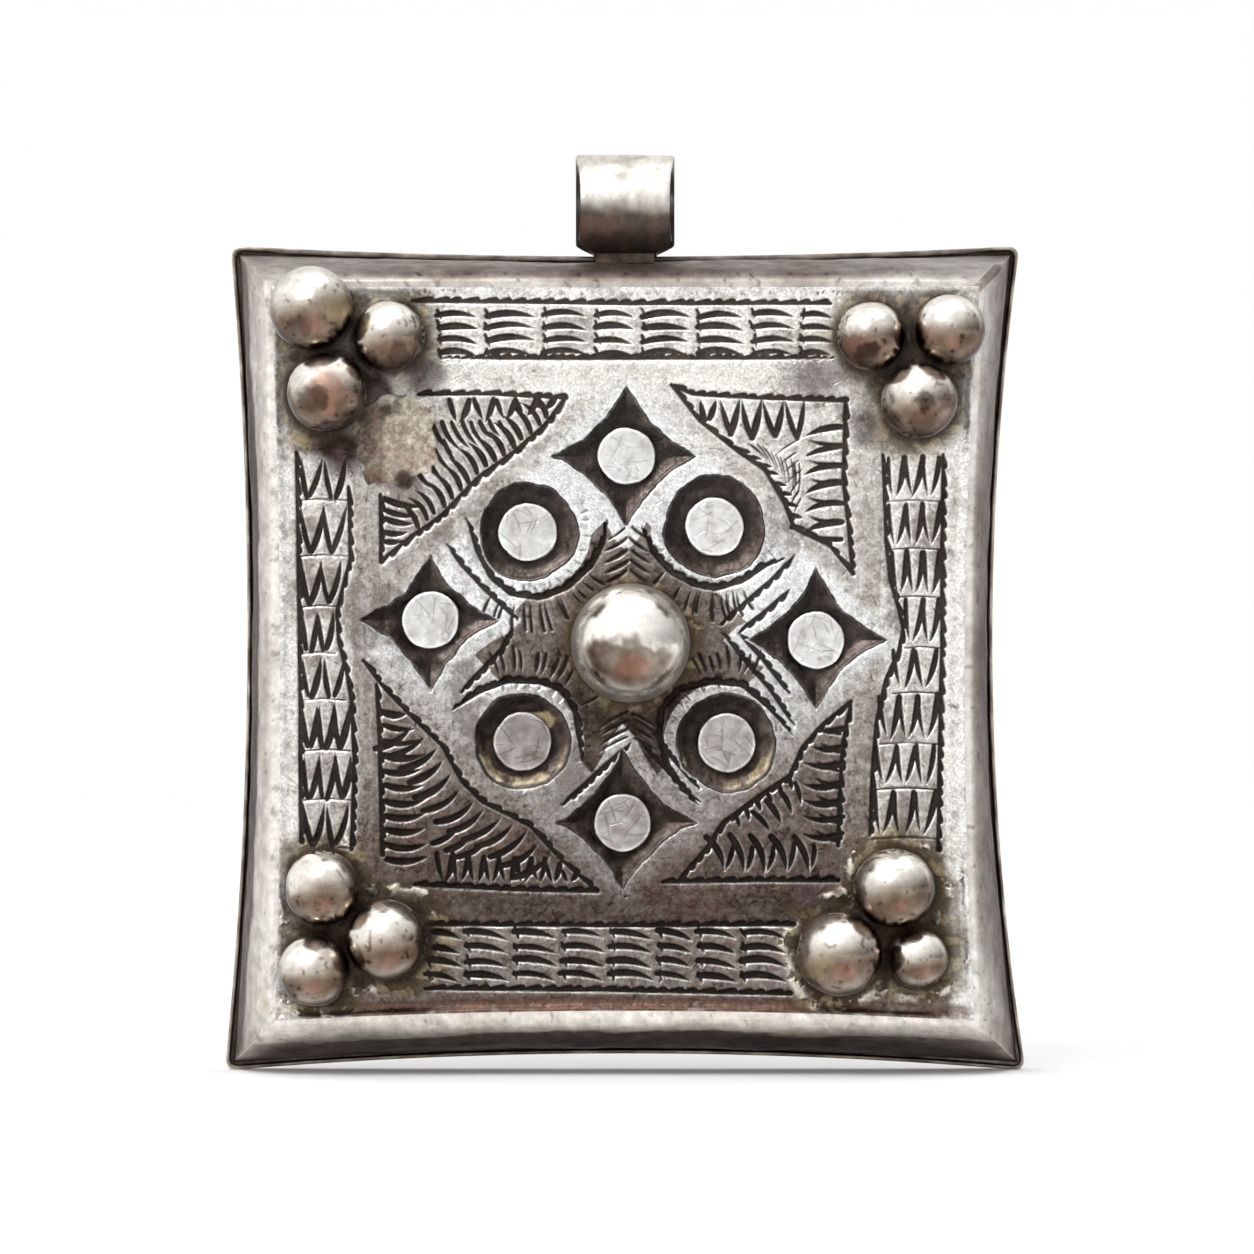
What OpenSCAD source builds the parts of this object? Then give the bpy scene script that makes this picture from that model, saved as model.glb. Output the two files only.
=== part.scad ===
// Amulet box pendant: a square silver case with bowed-in sides and pulled-out
// corner ears. A pierced and chased plate is set in the front, with a polished
// boss in its middle and three balls in each corner. A rolled bail on the top
// wall takes a cord, and a shallow back pan pushes on over the walls.
// The model stands upright as it hangs: X to the right, Z up, front toward -Y.
// The origin is the middle of the bail's bore. All sizes are in millimetres.

/* [Case outline] */
// width across the two lower ears, at the back edge
body_w = 61; // [59:0.1:64]
// how much narrower the case is across its two upper ears
top_taper = 0.9; // [0:0.1:1.5]
// height from the upper ears to the lower ears
body_h = 62.8; // [61:0.1:66]
// depth from the back face to the crest of the front rim
body_depth = 11; // [10:0.1:14]
// inward bow of the top edge
bow_top = 0.8; // [0.4:0.1:1.2]
// inward bow of the right edge
bow_right = 2.3; // [1.6:0.1:2.6]
// inward bow of the bottom edge
bow_bottom = 1.3; // [0.9:0.1:1.7]
// inward bow of the left edge
bow_left = 1.5; // [1:0.1:2]

/* [Walls] */
// thickness of the wall sheet
wall_t = 0.7; // [0.5:0.05:0.9]
// distance from an upper ear in to the corner of the rim, across and down
ear_top = 3.1; // [2.8:0.1:3.5]
// distance from a lower ear in to the corner of the rim, across and up
ear_bottom = 3.9; // [3.4:0.1:4.3]
// inward bow of the rim along the top
rim_bow_top = 0.1; // [0:0.05:0.3]
// inward bow of the rim along the right side
rim_bow_right = 0.95; // [0.6:0.05:1.2]
// inward bow of the rim along the bottom
rim_bow_bottom = 0.75; // [0.4:0.05:1]
// inward bow of the rim along the left side
rim_bow_left = 0.55; // [0.2:0.05:0.8]
// roundness of the shoulder in the middle of a side, 1 is a straight slope
shoulder_mid = 2.3; // [1.8:0.1:3]
// roundness of the shoulder at the ears, 1 is a straight slope
shoulder_ear = 1.25; // [1.1:0.05:1.6]
// width of the bare rim around the plate
rim_w = 0.35; // [0.25:0.05:0.5]
// how far the rim stands above the face of the plate
rim_drop = 0.15; // [0.1:0.01:0.25]
// width of the ledge that the plate lies on
ledge_w = 1.6; // [1.2:0.1:2]
// thickness of the ledge
ledge_t = 0.6; // [0.5:0.05:0.8]

/* [Front plate] */
// thickness of the chased plate
plate_t = 0.8; // [0.7:0.05:1]
// corner rounding of the chased plate
plate_corner = 1.2; // [0.6:0.1:1.6]
// depth of the chased cuts
chase_d = 0.28; // [0.2:0.02:0.4]
// width of a chased line, and of a stroke at its wide end
chase_w = 0.45; // [0.35:0.05:0.55]
// half diagonal of a four-pointed window
diamond_r = 5.4; // [5:0.1:5.6]
// inward bow of a four-pointed window's sides
diamond_bow = 0.75; // [0.5:0.05:0.9]
// radius of a round window
ring_r = 3.7; // [3.5:0.1:3.9]
// radius of the discs in the four-pointed windows
diamond_disc_r = 2.2; // [2:0.05:2.4]
// radius of the discs in the round windows
ring_disc_r = 2.25; // [2:0.05:2.4]
// thickness of the backing plate that shows dark in the windows
backing_t = 0.5; // [0.4:0.05:0.6]
// margin of the backing plate beyond the windows
backing_margin = 1.2; // [0.8:0.1:1.4]

/* [Chased bands] */
// width of the cut band along the top
band_top = 4.1; // [3.8:0.1:4.4]
// width of the cut band along the right side
band_right = 4.4; // [4:0.1:4.6]
// width of the cut band along the bottom
band_bottom = 4.8; // [4.4:0.1:5]
// width of the cut band along the left side
band_left = 3.9; // [3.6:0.1:4.2]
// plain margin between the rim and the top band
margin_top = 1.3; // [1.1:0.1:1.5]
// plain margin between the rim and the right band
margin_right = 1.95; // [1.7:0.05:2.2]
// plain margin between the rim and the bottom band
margin_bottom = 2.2; // [1.9:0.1:2.5]
// plain margin between the rim and the left band
margin_left = 1.85; // [1.6:0.05:2.1]
// width of the plain bar inside the bands
bar_w = 2.5; // [2.3:0.1:2.7]
// stretch at each corner that the cuts leave free for the balls
corner_free = 10.6; // [10.2:0.1:11.4]
// number of cut columns or cells in a band
band_cells = 7; // [6:1:8]

/* [Boss and balls] */
// radius of the polished boss in the middle
boss_r = 4.5; // [4:0.1:4.8]
// height of the boss over the plate
boss_h = 7.8; // [7:0.1:7.8]
// height of a ball's centre over the plate, as a share of its radius
ball_lift = 0.92; // [0.9:0.01:0.95]

/* [Bail] */
// outer radius of the bail
bail_r = 3.95; // [3.6:0.05:4.2]
// radius of the bail's bore
bail_bore_r = 3.25; // [2.9:0.05:3.4]
// length of the bail at the back
bail_l = 7.5; // [7:0.1:8]
// length of the bail at the front, where its strip narrows
bail_front_l = 6.7; // [6.2:0.1:7]
// distance from the back face to the bail's axis
bail_depth = 5.2; // [4.8:0.1:5.6]
// thickness of the solder under the bail
solder_t = 0.25; // [0.2:0.05:0.4]
// length of the solder under the bail
solder_l = 4.4; // [3.6:0.1:4.8]
// width of the solder under the bail
solder_w = 3.2; // [2.6:0.1:3.6]

/* [Back pan] */
// thickness of the pan's floor
pan_t = 0.6; // [0.5:0.05:0.8]
// thickness of the pan's upturned edge
pan_edge_t = 0.35; // [0.3:0.05:0.45]
// height of the pan's upturned edge over its floor
pan_edge_h = 1.4; // [1:0.1:1.8]
// corner rounding of the pan
pan_corner = 1; // [0.6:0.1:1.3]
// clearance between the pan's edge and the walls
pan_fit = 0.12; // [0.08:0.01:0.2]
// clearance between the pan's floor and the walls' feet
foot_gap = 0.05; // [0.02:0.01:0.1]

/* [Folded paper] */
// width of the folded paper
paper_w = 40; // [36:0.5:43]
// height of the folded paper
paper_h = 44; // [38:0.5:45]
// number of leaves in the folded paper
paper_leaves = 6; // [4:2:6]
// thickness of one leaf of the folded paper
leaf_t = 0.45; // [0.3:0.05:0.5]
// gap between two leaves
leaf_gap = 0.2; // [0.12:0.02:0.22]
// clearance around the folded paper
paper_gap = 0.3; // [0.2:0.05:0.4]

/* [Hidden] */
$fn = 64;

// stations along a side, and steps over the shoulder outside and inside
side_steps = 9;
outer_steps = 5;
inner_steps = 2;

// extra inset of the walls' feet at the ears, clear of the pan's round corners
ear_relief = 0.35;
// seam between pieces that are soldered edge to edge
seam = 0.05;
// overshoot of a cut past the face that it starts from
over = 1;

// levels above the back face
foot_z = pan_t + foot_gap;
crest_z = body_depth;
face_z = crest_z - rim_drop;
ledge_z = face_z - plate_t;
flange_z = ledge_z - ledge_t;

// places of the windows, from the middle of the plate: top, right, bottom, left
diamond_at = [[0.1, 14.8], [14.3, 1], [-0.2, -12.7], [-14.6, 2.5]];
// and upper left, upper right, lower right, lower left
ring_at = [[-7.3, 9.1], [6.7, 9.5], [7.6, -6.7], [-7.7, -6.6]];
boss_at = [0.4, 0.8];

// balls of each corner as [in from the side, in from the end, radius]
balls_top_left = [[3.5, 2.1, 3.15], [9.3, 4.2, 2.7], [4.7, 8.4, 3.05]];
balls_top_right = [[8.6, 4.2, 2.6], [2.7, 3.7, 2.7], [5, 9, 2.9]];
balls_bottom_right = [[6.5, 10.4, 3.05], [10.6, 5.5, 3.2], [4.7, 5.1, 2.25]];
balls_bottom_left = [[4, 10.4, 2.85], [8.8, 6.5, 3.05], [3.4, 4.2, 2.7]];

// line across the upper ears, set so that the bail sits on the top wall
foot_in = pan_edge_t + pan_fit;
bail_rise = (bail_depth - foot_z) / (crest_z - foot_z);
bail_creep = 1 - pow(1 - pow(bail_rise, shoulder_mid), 1 / shoulder_mid);
top_run = ear_top + rim_bow_top - bow_top - foot_in;
ears_y = bow_top + foot_in + top_run * bail_creep - bail_r - solder_t;

// corners run clockwise from the upper left, and side k starts at corner k
top_w = body_w - top_taper;
inward = [[1, -1], [-1, -1], [-1, 1], [1, 1]];
lip_corners = [
    [-top_w / 2, ears_y], [top_w / 2, ears_y],
    [body_w / 2, ears_y - body_h], [-body_w / 2, ears_y - body_h]];
lip_bows = [bow_top, bow_right, bow_bottom, bow_left];
rim_bows = [rim_bow_top, rim_bow_right, rim_bow_bottom, rim_bow_left];
ears = [ear_top, ear_top, ear_bottom, ear_bottom];
rim_corners = [for (k = [0:3]) lip_corners[k] + ears[k] * inward[k]];
foot_corners = inset(lip_corners, foot_in + ear_relief);
foot_bows = [for (bow = lip_bows) bow - ear_relief];

// edges of the rim in the middle of each side, and the middle of the plate
edge_top = rim_corners[0].y - rim_bow_top;
edge_right = (rim_corners[1].x + rim_corners[2].x) / 2 - rim_bow_right;
edge_bottom = rim_corners[2].y + rim_bow_bottom;
edge_left = (rim_corners[0].x + rim_corners[3].x) / 2 + rim_bow_left;
plate_mid = [0, (rim_corners[0].y + rim_corners[3].y) / 2];

// frames of the chasing as [left, bottom, right, top]
frame_out = [edge_left + margin_left, edge_bottom + margin_bottom,
             edge_right - margin_right, edge_top - margin_top];
frame_in = [frame_out[0] + band_left, frame_out[1] + band_bottom,
            frame_out[2] - band_right, frame_out[3] - band_top];
frame_bar = [frame_in[0] + bar_w, frame_in[1] + bar_w,
             frame_in[2] - bar_w, frame_in[3] - bar_w];
// length of a spandrel's leg, along the bar from the corner of the frame
leg_top = 13;
leg_bottom = 14.5;
spandrel_strokes = 6;
// longest and shortest stroke of a spandrel, and its start off the bar's line
stroke_max = 2.6;
stroke_min = 1.2;
stroke_start = 0.7;

paper_depth = paper_leaves * leaf_t + (paper_leaves - 1) * leaf_gap;
paper_top = min(flange_z, ledge_z - backing_t) - paper_gap;

silver = "#b9b4ac";
bright = "#d4d0c8";
dark = "#4a403a";
paper = "#d8c9a4";

// corners moved inward by the same distance from both of their sides
function inset(corners, d) = [for (k = [0:3]) corners[k] + d * inward[k]];

// point at share t of side k, on a curve that bows inward
function side_point(corners, bows, k, t) =
    let (a = corners[k], b = corners[(k + 1) % 4], along = (b - a) / norm(b - a))
    a + (b - a) * t + [along.y, -along.x] * bows[k] * 4 * t * (1 - t);

// closed outline of four bowed sides with rounded corners
function outline(corners, bows, round_r) = [
    for (k = [0:3])
        let (far = (k + 1) % 4,
             trim = round_r / norm(corners[far] - corners[k]),
             next = round_r / norm(corners[(k + 2) % 4] - corners[far]),
             last = side_point(corners, bows, k, 1 - trim),
             first = side_point(corners, bows, far, next))
        each concat(
            [for (i = [0:side_steps]) side_point(corners, bows, k, trim + (1 - 2 * trim) * i / side_steps)],
            [for (s = [0.25, 0.5, 0.75])
                last * pow(1 - s, 2) + corners[far] * 2 * s * (1 - s) + first * pow(s, 2)])];

// rise and creep of a rounded shoulder at angle a, as shares of the whole
function rise(a, power) = pow(sin(a), 2 / power);
function creep(a, power) = 1 - pow(cos(a), 2 / power);

// section of a side wall at share t of side k, from the outer foot up over the
// rim, down to the step under the ledge and back along the inside
function wall_section(k, t) =
    let (power = shoulder_ear + (shoulder_mid - shoulder_ear) * 4 * t * (1 - t),
         foot = side_point(foot_corners, foot_bows, k, t),
         crest = side_point(rim_corners, rim_bows, k, t),
         inner_foot = side_point(inset(foot_corners, wall_t), foot_bows, k, t),
         inner_crest = side_point(inset(rim_corners, wall_t), rim_bows, k, t),
         rim = side_point(inset(rim_corners, rim_w), rim_bows, k, t))
    concat(
        [for (i = [0:outer_steps])
            let (a = 90 * i / outer_steps, p = foot + (crest - foot) * creep(a, power))
            [p.x, p.y, foot_z + (crest_z - foot_z) * rise(a, power)]],
        [[rim.x, rim.y, crest_z], [rim.x, rim.y, flange_z]],
        [for (i = [inner_steps:-1:0])
            let (a = 90 * i / inner_steps, p = inner_foot + (inner_crest - inner_foot) * creep(a, power))
            [p.x, p.y, foot_z + (flange_z - foot_z) * rise(a, power)]]);

// section of the ledge inside side k at share t, flat under the plate
function ledge_section(k, t) =
    let (rim = side_point(inset(rim_corners, rim_w), rim_bows, k, t),
         edge = side_point(inset(rim_corners, rim_w + ledge_w), rim_bows, k, t))
    [[rim.x, rim.y, flange_z], [rim.x, rim.y, ledge_z],
     [edge.x, edge.y, ledge_z], [edge.x, edge.y, flange_z]];

// strip along one side, mitred at 45 degrees where it meets its neighbours
module strip(sections) {
    n = len(sections[0]);
    points = [for (s = sections) each s];
    skin = [for (i = [0:side_steps - 1], j = [0:n - 1])
        let (a = i * n + j, b = i * n + (j + 1) % n, c = b + n, d = a + n)
        each [[a, b, c], [a, c, d]]];
    first_end = [for (j = [n - 1:-1:0]) j];
    last_end = [for (j = [0:n - 1]) side_steps * n + j];
    polyhedron(points, concat([first_end, last_end], skin));
}

module side_wall(k) {
    color(silver) upright() strip([for (i = [0:side_steps]) wall_section(k, i / side_steps)]);
}

module plate_ledge(k) {
    color(silver) upright() strip([for (i = [0:side_steps]) ledge_section(k, i / side_steps)]);
}

// stands the flat-lying model upright with its front toward -Y
module upright() {
    translate([0, bail_depth, 0]) rotate([90, 0, 0]) children();
}

// four-pointed window with sides that bow inward
module diamond_window() {
    chord = diamond_r * sqrt(2);
    arc_r = (pow(chord / 2, 2) + pow(diamond_bow, 2)) / (2 * diamond_bow);
    reach = chord / 2 - diamond_bow + arc_r;
    difference() {
        circle(r = diamond_r, $fn = 4);
        for (turn = [45:90:315])
            rotate(turn) translate([reach, 0]) circle(r = arc_r);
    }
}

// straight chased line
module line_cut(p, q) {
    across = [p.y - q.y, q.x - p.x] / norm(q - p) * chase_w / 2;
    polygon([p + across, q + across, q - across, p - across]);
}

// tapered stroke from its wide end p to its point q, bowed to the left by bow
module stroke_cut(p, q, bow) {
    across = [p.y - q.y, q.x - p.x] / norm(q - p);
    middle = (p + q) / 2 + across * bow;
    polygon([p + across * chase_w / 2, middle + across * chase_w * 0.36, q,
             middle - across * chase_w * 0.36, p - across * chase_w / 2]);
}

// columns of three curved strokes in the band between two heights
module column_band(low, high, bow) {
    start = frame_out[0] + corner_free;
    pitch = (frame_out[2] - corner_free - start) / band_cells;
    row = (high - low) / 3.4;
    for (i = [0:band_cells - 1], j = [0:2])
        stroke_cut([start + i * pitch + 0.3, low + (j + 0.75) * row],
                   [start + (i + 1) * pitch - 0.3, low + (j + 0.55) * row], bow);
}

// cells of three long teeth in the band between two widths
module cell_band(left, right) {
    start = frame_out[1] + corner_free;
    pitch = (frame_out[3] - corner_free - start) / band_cells;
    step = (right - left) / 3.8;
    for (j = [0:band_cells - 1], i = [0:2])
        let (x = left + (i + 0.8) * step, y = start + j * pitch)
        stroke_cut([x, y + pitch - 0.4], [x + step * 0.45, y + 0.4], 0.12);
}

// spandrel in one corner of the inner frame: two rows of strokes and a slant line
module spandrel(corner, dir, leg) {
    step = leg / (spandrel_strokes + 1.6);
    line_cut(corner, corner + [dir.x * leg, 0]);
    line_cut(corner, corner + [0, dir.y * leg]);
    line_cut(corner + [dir.x * leg, 0], corner + [0, dir.y * leg]);
    for (i = [1:spandrel_strokes]) {
        reach = (leg - i * step) * 0.62 - 0.6;
        end = stroke_start + min(reach, stroke_max);
        if (reach > stroke_min) {
            stroke_cut(corner + [dir.x * i * step, dir.y * stroke_start],
                       corner + [dir.x * (i + 0.25) * step, dir.y * end], chase_w / 3);
            stroke_cut(corner + [dir.x * stroke_start, dir.y * (i + 0.5) * step],
                       corner + [dir.x * end, dir.y * (i + 0.65) * step], -chase_w / 3);
        }
    }
}

// all the chased cuts of the plate, seen from the front
module chasing() {
    for (y = [frame_out[3], frame_in[3], frame_in[1], frame_out[1]])
        line_cut([frame_out[0] + corner_free, y], [frame_out[2] - corner_free, y]);
    for (x = [frame_out[0], frame_in[0], frame_in[2], frame_out[2]])
        line_cut([x, frame_out[1] + corner_free], [x, frame_out[3] - corner_free]);
    column_band(frame_in[3], frame_out[3], 0.3);
    column_band(frame_out[1], frame_in[1], -0.3);
    cell_band(frame_out[0], frame_in[0]);
    cell_band(frame_in[2], frame_out[2]);
    spandrel([frame_bar[0], frame_bar[3]], [1, -1], leg_top);
    spandrel([frame_bar[2], frame_bar[3]], [-1, -1], leg_top);
    spandrel([frame_bar[2], frame_bar[1]], [-1, 1], leg_bottom);
    spandrel([frame_bar[0], frame_bar[1]], [1, 1], leg_bottom);
}

// disc in a window, level with the face of the plate
module window_disc(at, r) {
    color(bright) upright() translate([plate_mid.x + at.x, plate_mid.y + at.y, ledge_z])
        cylinder(r = r, h = plate_t);
}

// ball with a flat seat on the plate, lift is its centre's height
module seated_ball(at, r, lift) {
    color(bright) upright() translate([at.x, at.y, face_z]) difference() {
        translate([0, 0, lift]) sphere(r = r);
        translate([-2 * r, -2 * r, -4 * r]) cube(4 * r);
    }
}

// ball i of a corner, placed in from the corner of the rim
module corner_ball(k, list, i) {
    seated_ball(rim_corners[k] + [inward[k].x * list[i].x, inward[k].y * list[i].y],
                list[i].z, ball_lift * list[i].z);
}

module side_wall_top() { side_wall(0); }
module side_wall_right() { side_wall(1); }
module side_wall_bottom() { side_wall(2); }
module side_wall_left() { side_wall(3); }

module plate_ledge_top() { plate_ledge(0); }
module plate_ledge_right() { plate_ledge(1); }
module plate_ledge_bottom() { plate_ledge(2); }
module plate_ledge_left() { plate_ledge(3); }

module chased_plate() {
    color(silver) upright() difference() {
        translate([0, 0, ledge_z]) linear_extrude(plate_t) difference() {
            polygon(outline(inset(rim_corners, rim_w + seam), rim_bows, plate_corner));
            for (at = diamond_at) translate(plate_mid + at) diamond_window();
            for (at = ring_at) translate(plate_mid + at) circle(r = ring_r);
        }
        translate([0, 0, face_z - chase_d]) linear_extrude(chase_d + over) chasing();
    }
}

module window_backing() {
    low_x = diamond_at[3].x - diamond_r - backing_margin;
    high_x = diamond_at[1].x + diamond_r + backing_margin;
    low_y = diamond_at[2].y - diamond_r - backing_margin;
    high_y = diamond_at[0].y + diamond_r + backing_margin;
    color(dark) upright() translate([plate_mid.x + low_x, plate_mid.y + low_y, ledge_z - backing_t])
        cube([high_x - low_x, high_y - low_y, backing_t]);
}

module diamond_disc_top() { window_disc(diamond_at[0], diamond_disc_r); }
module diamond_disc_right() { window_disc(diamond_at[1], diamond_disc_r); }
module diamond_disc_bottom() { window_disc(diamond_at[2], diamond_disc_r); }
module diamond_disc_left() { window_disc(diamond_at[3], diamond_disc_r); }
module ring_disc_upper_left() { window_disc(ring_at[0], ring_disc_r); }
module ring_disc_upper_right() { window_disc(ring_at[1], ring_disc_r); }
module ring_disc_lower_right() { window_disc(ring_at[2], ring_disc_r); }
module ring_disc_lower_left() { window_disc(ring_at[3], ring_disc_r); }

module centre_boss() { seated_ball(plate_mid + boss_at, boss_r, boss_h - boss_r); }

module ball_top_left_1() { corner_ball(0, balls_top_left, 0); }
module ball_top_left_2() { corner_ball(0, balls_top_left, 1); }
module ball_top_left_3() { corner_ball(0, balls_top_left, 2); }
module ball_top_right_1() { corner_ball(1, balls_top_right, 0); }
module ball_top_right_2() { corner_ball(1, balls_top_right, 1); }
module ball_top_right_3() { corner_ball(1, balls_top_right, 2); }
module ball_bottom_right_1() { corner_ball(2, balls_bottom_right, 0); }
module ball_bottom_right_2() { corner_ball(2, balls_bottom_right, 1); }
module ball_bottom_right_3() { corner_ball(2, balls_bottom_right, 2); }
module ball_bottom_left_1() { corner_ball(3, balls_bottom_left, 0); }
module ball_bottom_left_2() { corner_ball(3, balls_bottom_left, 1); }
module ball_bottom_left_3() { corner_ball(3, balls_bottom_left, 2); }

// rolled strip, narrower in front and drawn in where it ends at the bottom
module bail_tube() {
    color(silver) rotate([0, 90, 0]) intersection() {
        difference() {
            cylinder(r = bail_r, h = bail_l, center = true);
            cylinder(r = bail_bore_r, h = bail_l + 2 * over, center = true);
        }
        rotate([0, -90, 0]) translate([0, 0, -bail_r - over]) linear_extrude(2 * (bail_r + over))
            polygon([[-bail_front_l / 2, -bail_r - over], [bail_front_l / 2, -bail_r - over],
                     [bail_l / 2, 0], [bail_l / 2, bail_r + over],
                     [-bail_l / 2, bail_r + over], [-bail_l / 2, 0]]);
        rotate([0, -90, 0]) translate([0, bail_r + over, 0]) rotate([90, 0, 0])
            linear_extrude(2 * (bail_r + over))
            polygon([[-bail_l / 2, bail_r + over], [bail_l / 2, bail_r + over],
                     [bail_l / 2, -0.74 * bail_r], [0.3 * bail_l, -bail_r - 0.02],
                     [-0.3 * bail_l, -bail_r - 0.02], [-bail_l / 2, -0.74 * bail_r]]);
    }
}

// solder between the bail and the top wall, shaped to both of them
module bail_solder() {
    low = bail_depth - solder_w / 2;
    wall_y = [for (i = [0:4])
        let (z = low + solder_w * i / 4, share = (z - foot_z) / (crest_z - foot_z))
        [z, ears_y - bow_top - foot_in + seam / 2
            - top_run * (1 - pow(1 - pow(share, shoulder_mid), 1 / shoulder_mid))]];
    top_y = -sqrt(pow(bail_r, 2) - pow(solder_w / 2, 2)) + seam;
    color(dark) upright() difference() {
        translate([solder_l / 2, 0, 0]) rotate([0, -90, 0]) linear_extrude(solder_l)
            polygon(concat(wall_y, [[low + solder_w, top_y], [low, top_y]]));
        translate([0, 0, bail_depth]) rotate([0, 90, 0])
            cylinder(r = bail_r, h = bail_l + 2 * over, center = true);
    }
}

// shallow pan with an upturned edge that grips round the feet of the walls
module back_pan() {
    inner_corner = max(pan_corner - pan_edge_t, 0.3);
    color(silver) upright() difference() {
        linear_extrude(pan_t + pan_edge_h) polygon(outline(lip_corners, lip_bows, pan_corner));
        translate([0, 0, pan_t]) linear_extrude(pan_edge_h + over)
            polygon(outline(inset(lip_corners, pan_edge_t), lip_bows, inner_corner));
    }
}

// strip of paper folded to and fro, lying under the backing plate
module folded_paper() {
    step = leaf_t + leaf_gap;
    color(paper) upright()
        translate([plate_mid.x, plate_mid.y - paper_h / 2, paper_top - paper_depth])
        translate([0, paper_h, 0]) rotate([90, 0, 0]) linear_extrude(paper_h) {
            for (i = [0:paper_leaves - 1])
                translate([-paper_w / 2, i * step]) square([paper_w, leaf_t]);
            for (i = [0:paper_leaves - 2])
                translate([i % 2 == 0 ? paper_w / 2 - leaf_t : -paper_w / 2, i * step])
                    square([leaf_t, step + leaf_t]);
        }
}

side_wall_top();
side_wall_right();
side_wall_bottom();
side_wall_left();
plate_ledge_top();
plate_ledge_right();
plate_ledge_bottom();
plate_ledge_left();
chased_plate();
window_backing();
diamond_disc_top();
diamond_disc_right();
diamond_disc_bottom();
diamond_disc_left();
ring_disc_upper_left();
ring_disc_upper_right();
ring_disc_lower_right();
ring_disc_lower_left();
centre_boss();
ball_top_left_1();
ball_top_left_2();
ball_top_left_3();
ball_top_right_1();
ball_top_right_2();
ball_top_right_3();
ball_bottom_right_1();
ball_bottom_right_2();
ball_bottom_right_3();
ball_bottom_left_1();
ball_bottom_left_2();
ball_bottom_left_3();
bail_tube();
bail_solder();
back_pan();
folded_paper();
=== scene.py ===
# Looks of the amulet box pendant: worn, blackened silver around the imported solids.
# Shapes are worked out in millimetres on the plate (u to the right and v up from the
# plate's middle, w forward from the back face) and are turned into metres at the end.
import math

import bmesh
import bpy
import numpy as np
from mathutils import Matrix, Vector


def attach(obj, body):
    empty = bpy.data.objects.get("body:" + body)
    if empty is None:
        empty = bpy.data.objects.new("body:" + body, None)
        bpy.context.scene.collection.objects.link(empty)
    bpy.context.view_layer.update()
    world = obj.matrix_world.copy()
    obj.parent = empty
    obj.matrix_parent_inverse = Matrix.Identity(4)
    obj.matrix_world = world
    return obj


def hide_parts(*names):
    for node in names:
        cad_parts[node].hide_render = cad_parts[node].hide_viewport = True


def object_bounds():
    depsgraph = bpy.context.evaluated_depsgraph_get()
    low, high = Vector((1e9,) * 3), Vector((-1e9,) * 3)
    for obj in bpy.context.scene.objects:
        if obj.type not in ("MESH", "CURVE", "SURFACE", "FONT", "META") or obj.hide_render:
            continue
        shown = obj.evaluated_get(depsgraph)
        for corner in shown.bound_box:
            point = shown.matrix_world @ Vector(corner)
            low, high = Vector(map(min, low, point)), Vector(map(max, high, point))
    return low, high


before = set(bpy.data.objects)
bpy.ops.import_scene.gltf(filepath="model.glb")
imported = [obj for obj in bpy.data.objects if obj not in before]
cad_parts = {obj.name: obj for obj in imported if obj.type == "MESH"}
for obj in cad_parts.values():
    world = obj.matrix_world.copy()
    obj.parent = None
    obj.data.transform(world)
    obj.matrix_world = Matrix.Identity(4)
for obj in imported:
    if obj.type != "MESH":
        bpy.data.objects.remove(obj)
cad_low, cad_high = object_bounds()

# Sizes of the solids, in millimetres
top_w = 60.1
bottom_w = 61.0
body_h = 62.8
body_depth = 11.0
lip_bows = [0.8, 2.3, 1.3, 1.5]
rim_bows = [0.1, 0.95, 0.75, 0.55]
ear_top = 3.1
ear_bottom = 3.9
wall_t = 0.7
shoulder_mid = 2.3
shoulder_ear = 1.25
rim_w = 0.35
rim_drop = 0.15
plate_t = 0.8
ledge_w = 1.6
ledge_t = 0.6
pan_t = 0.6
pan_edge_t = 0.35
pan_edge_h = 1.4
pan_corner = 1.0
pan_fit = 0.12
foot_gap = 0.05
ear_relief = 0.35
bail_r = 3.95
bail_bore_r = 3.25
bail_l = 7.5
bail_front_l = 6.7
bail_depth = 5.2
solder_t = 0.25
ball_lift = 0.92
boss_r = 4.5
boss_h = 7.8
backing_t = 0.5

# Levels above the back face
foot_w = pan_t + foot_gap
crest_w = body_depth
face_w = crest_w - rim_drop
ledge_top = face_w - plate_t
flange_w = ledge_top - ledge_t

# Line across the upper ears, and the four corners clockwise from the upper left
foot_in = pan_edge_t + pan_fit
bail_rise = (bail_depth - foot_w) / (crest_w - foot_w)
bail_creep = 1 - (1 - bail_rise ** shoulder_mid) ** (1 / shoulder_mid)
top_run = ear_top + rim_bows[0] - lip_bows[0] - foot_in
ears_z = lip_bows[0] + foot_in + top_run * bail_creep - bail_r - solder_t
plate_mid = ears_z + (-ear_top - body_h + ear_bottom) / 2
inward = np.array([[1, -1], [-1, -1], [-1, 1], [1, 1]], float)
ears = np.array([ear_top, ear_top, ear_bottom, ear_bottom])
lip_corners = np.array([
    [-top_w / 2, ears_z - plate_mid],
    [top_w / 2, ears_z - plate_mid],
    [bottom_w / 2, ears_z - body_h - plate_mid],
    [-bottom_w / 2, ears_z - body_h - plate_mid],
])
rim_corners = lip_corners + ears[:, None] * inward
foot_corners = lip_corners + (foot_in + ear_relief) * inward
foot_bows = [bow - ear_relief for bow in lip_bows]

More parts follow.
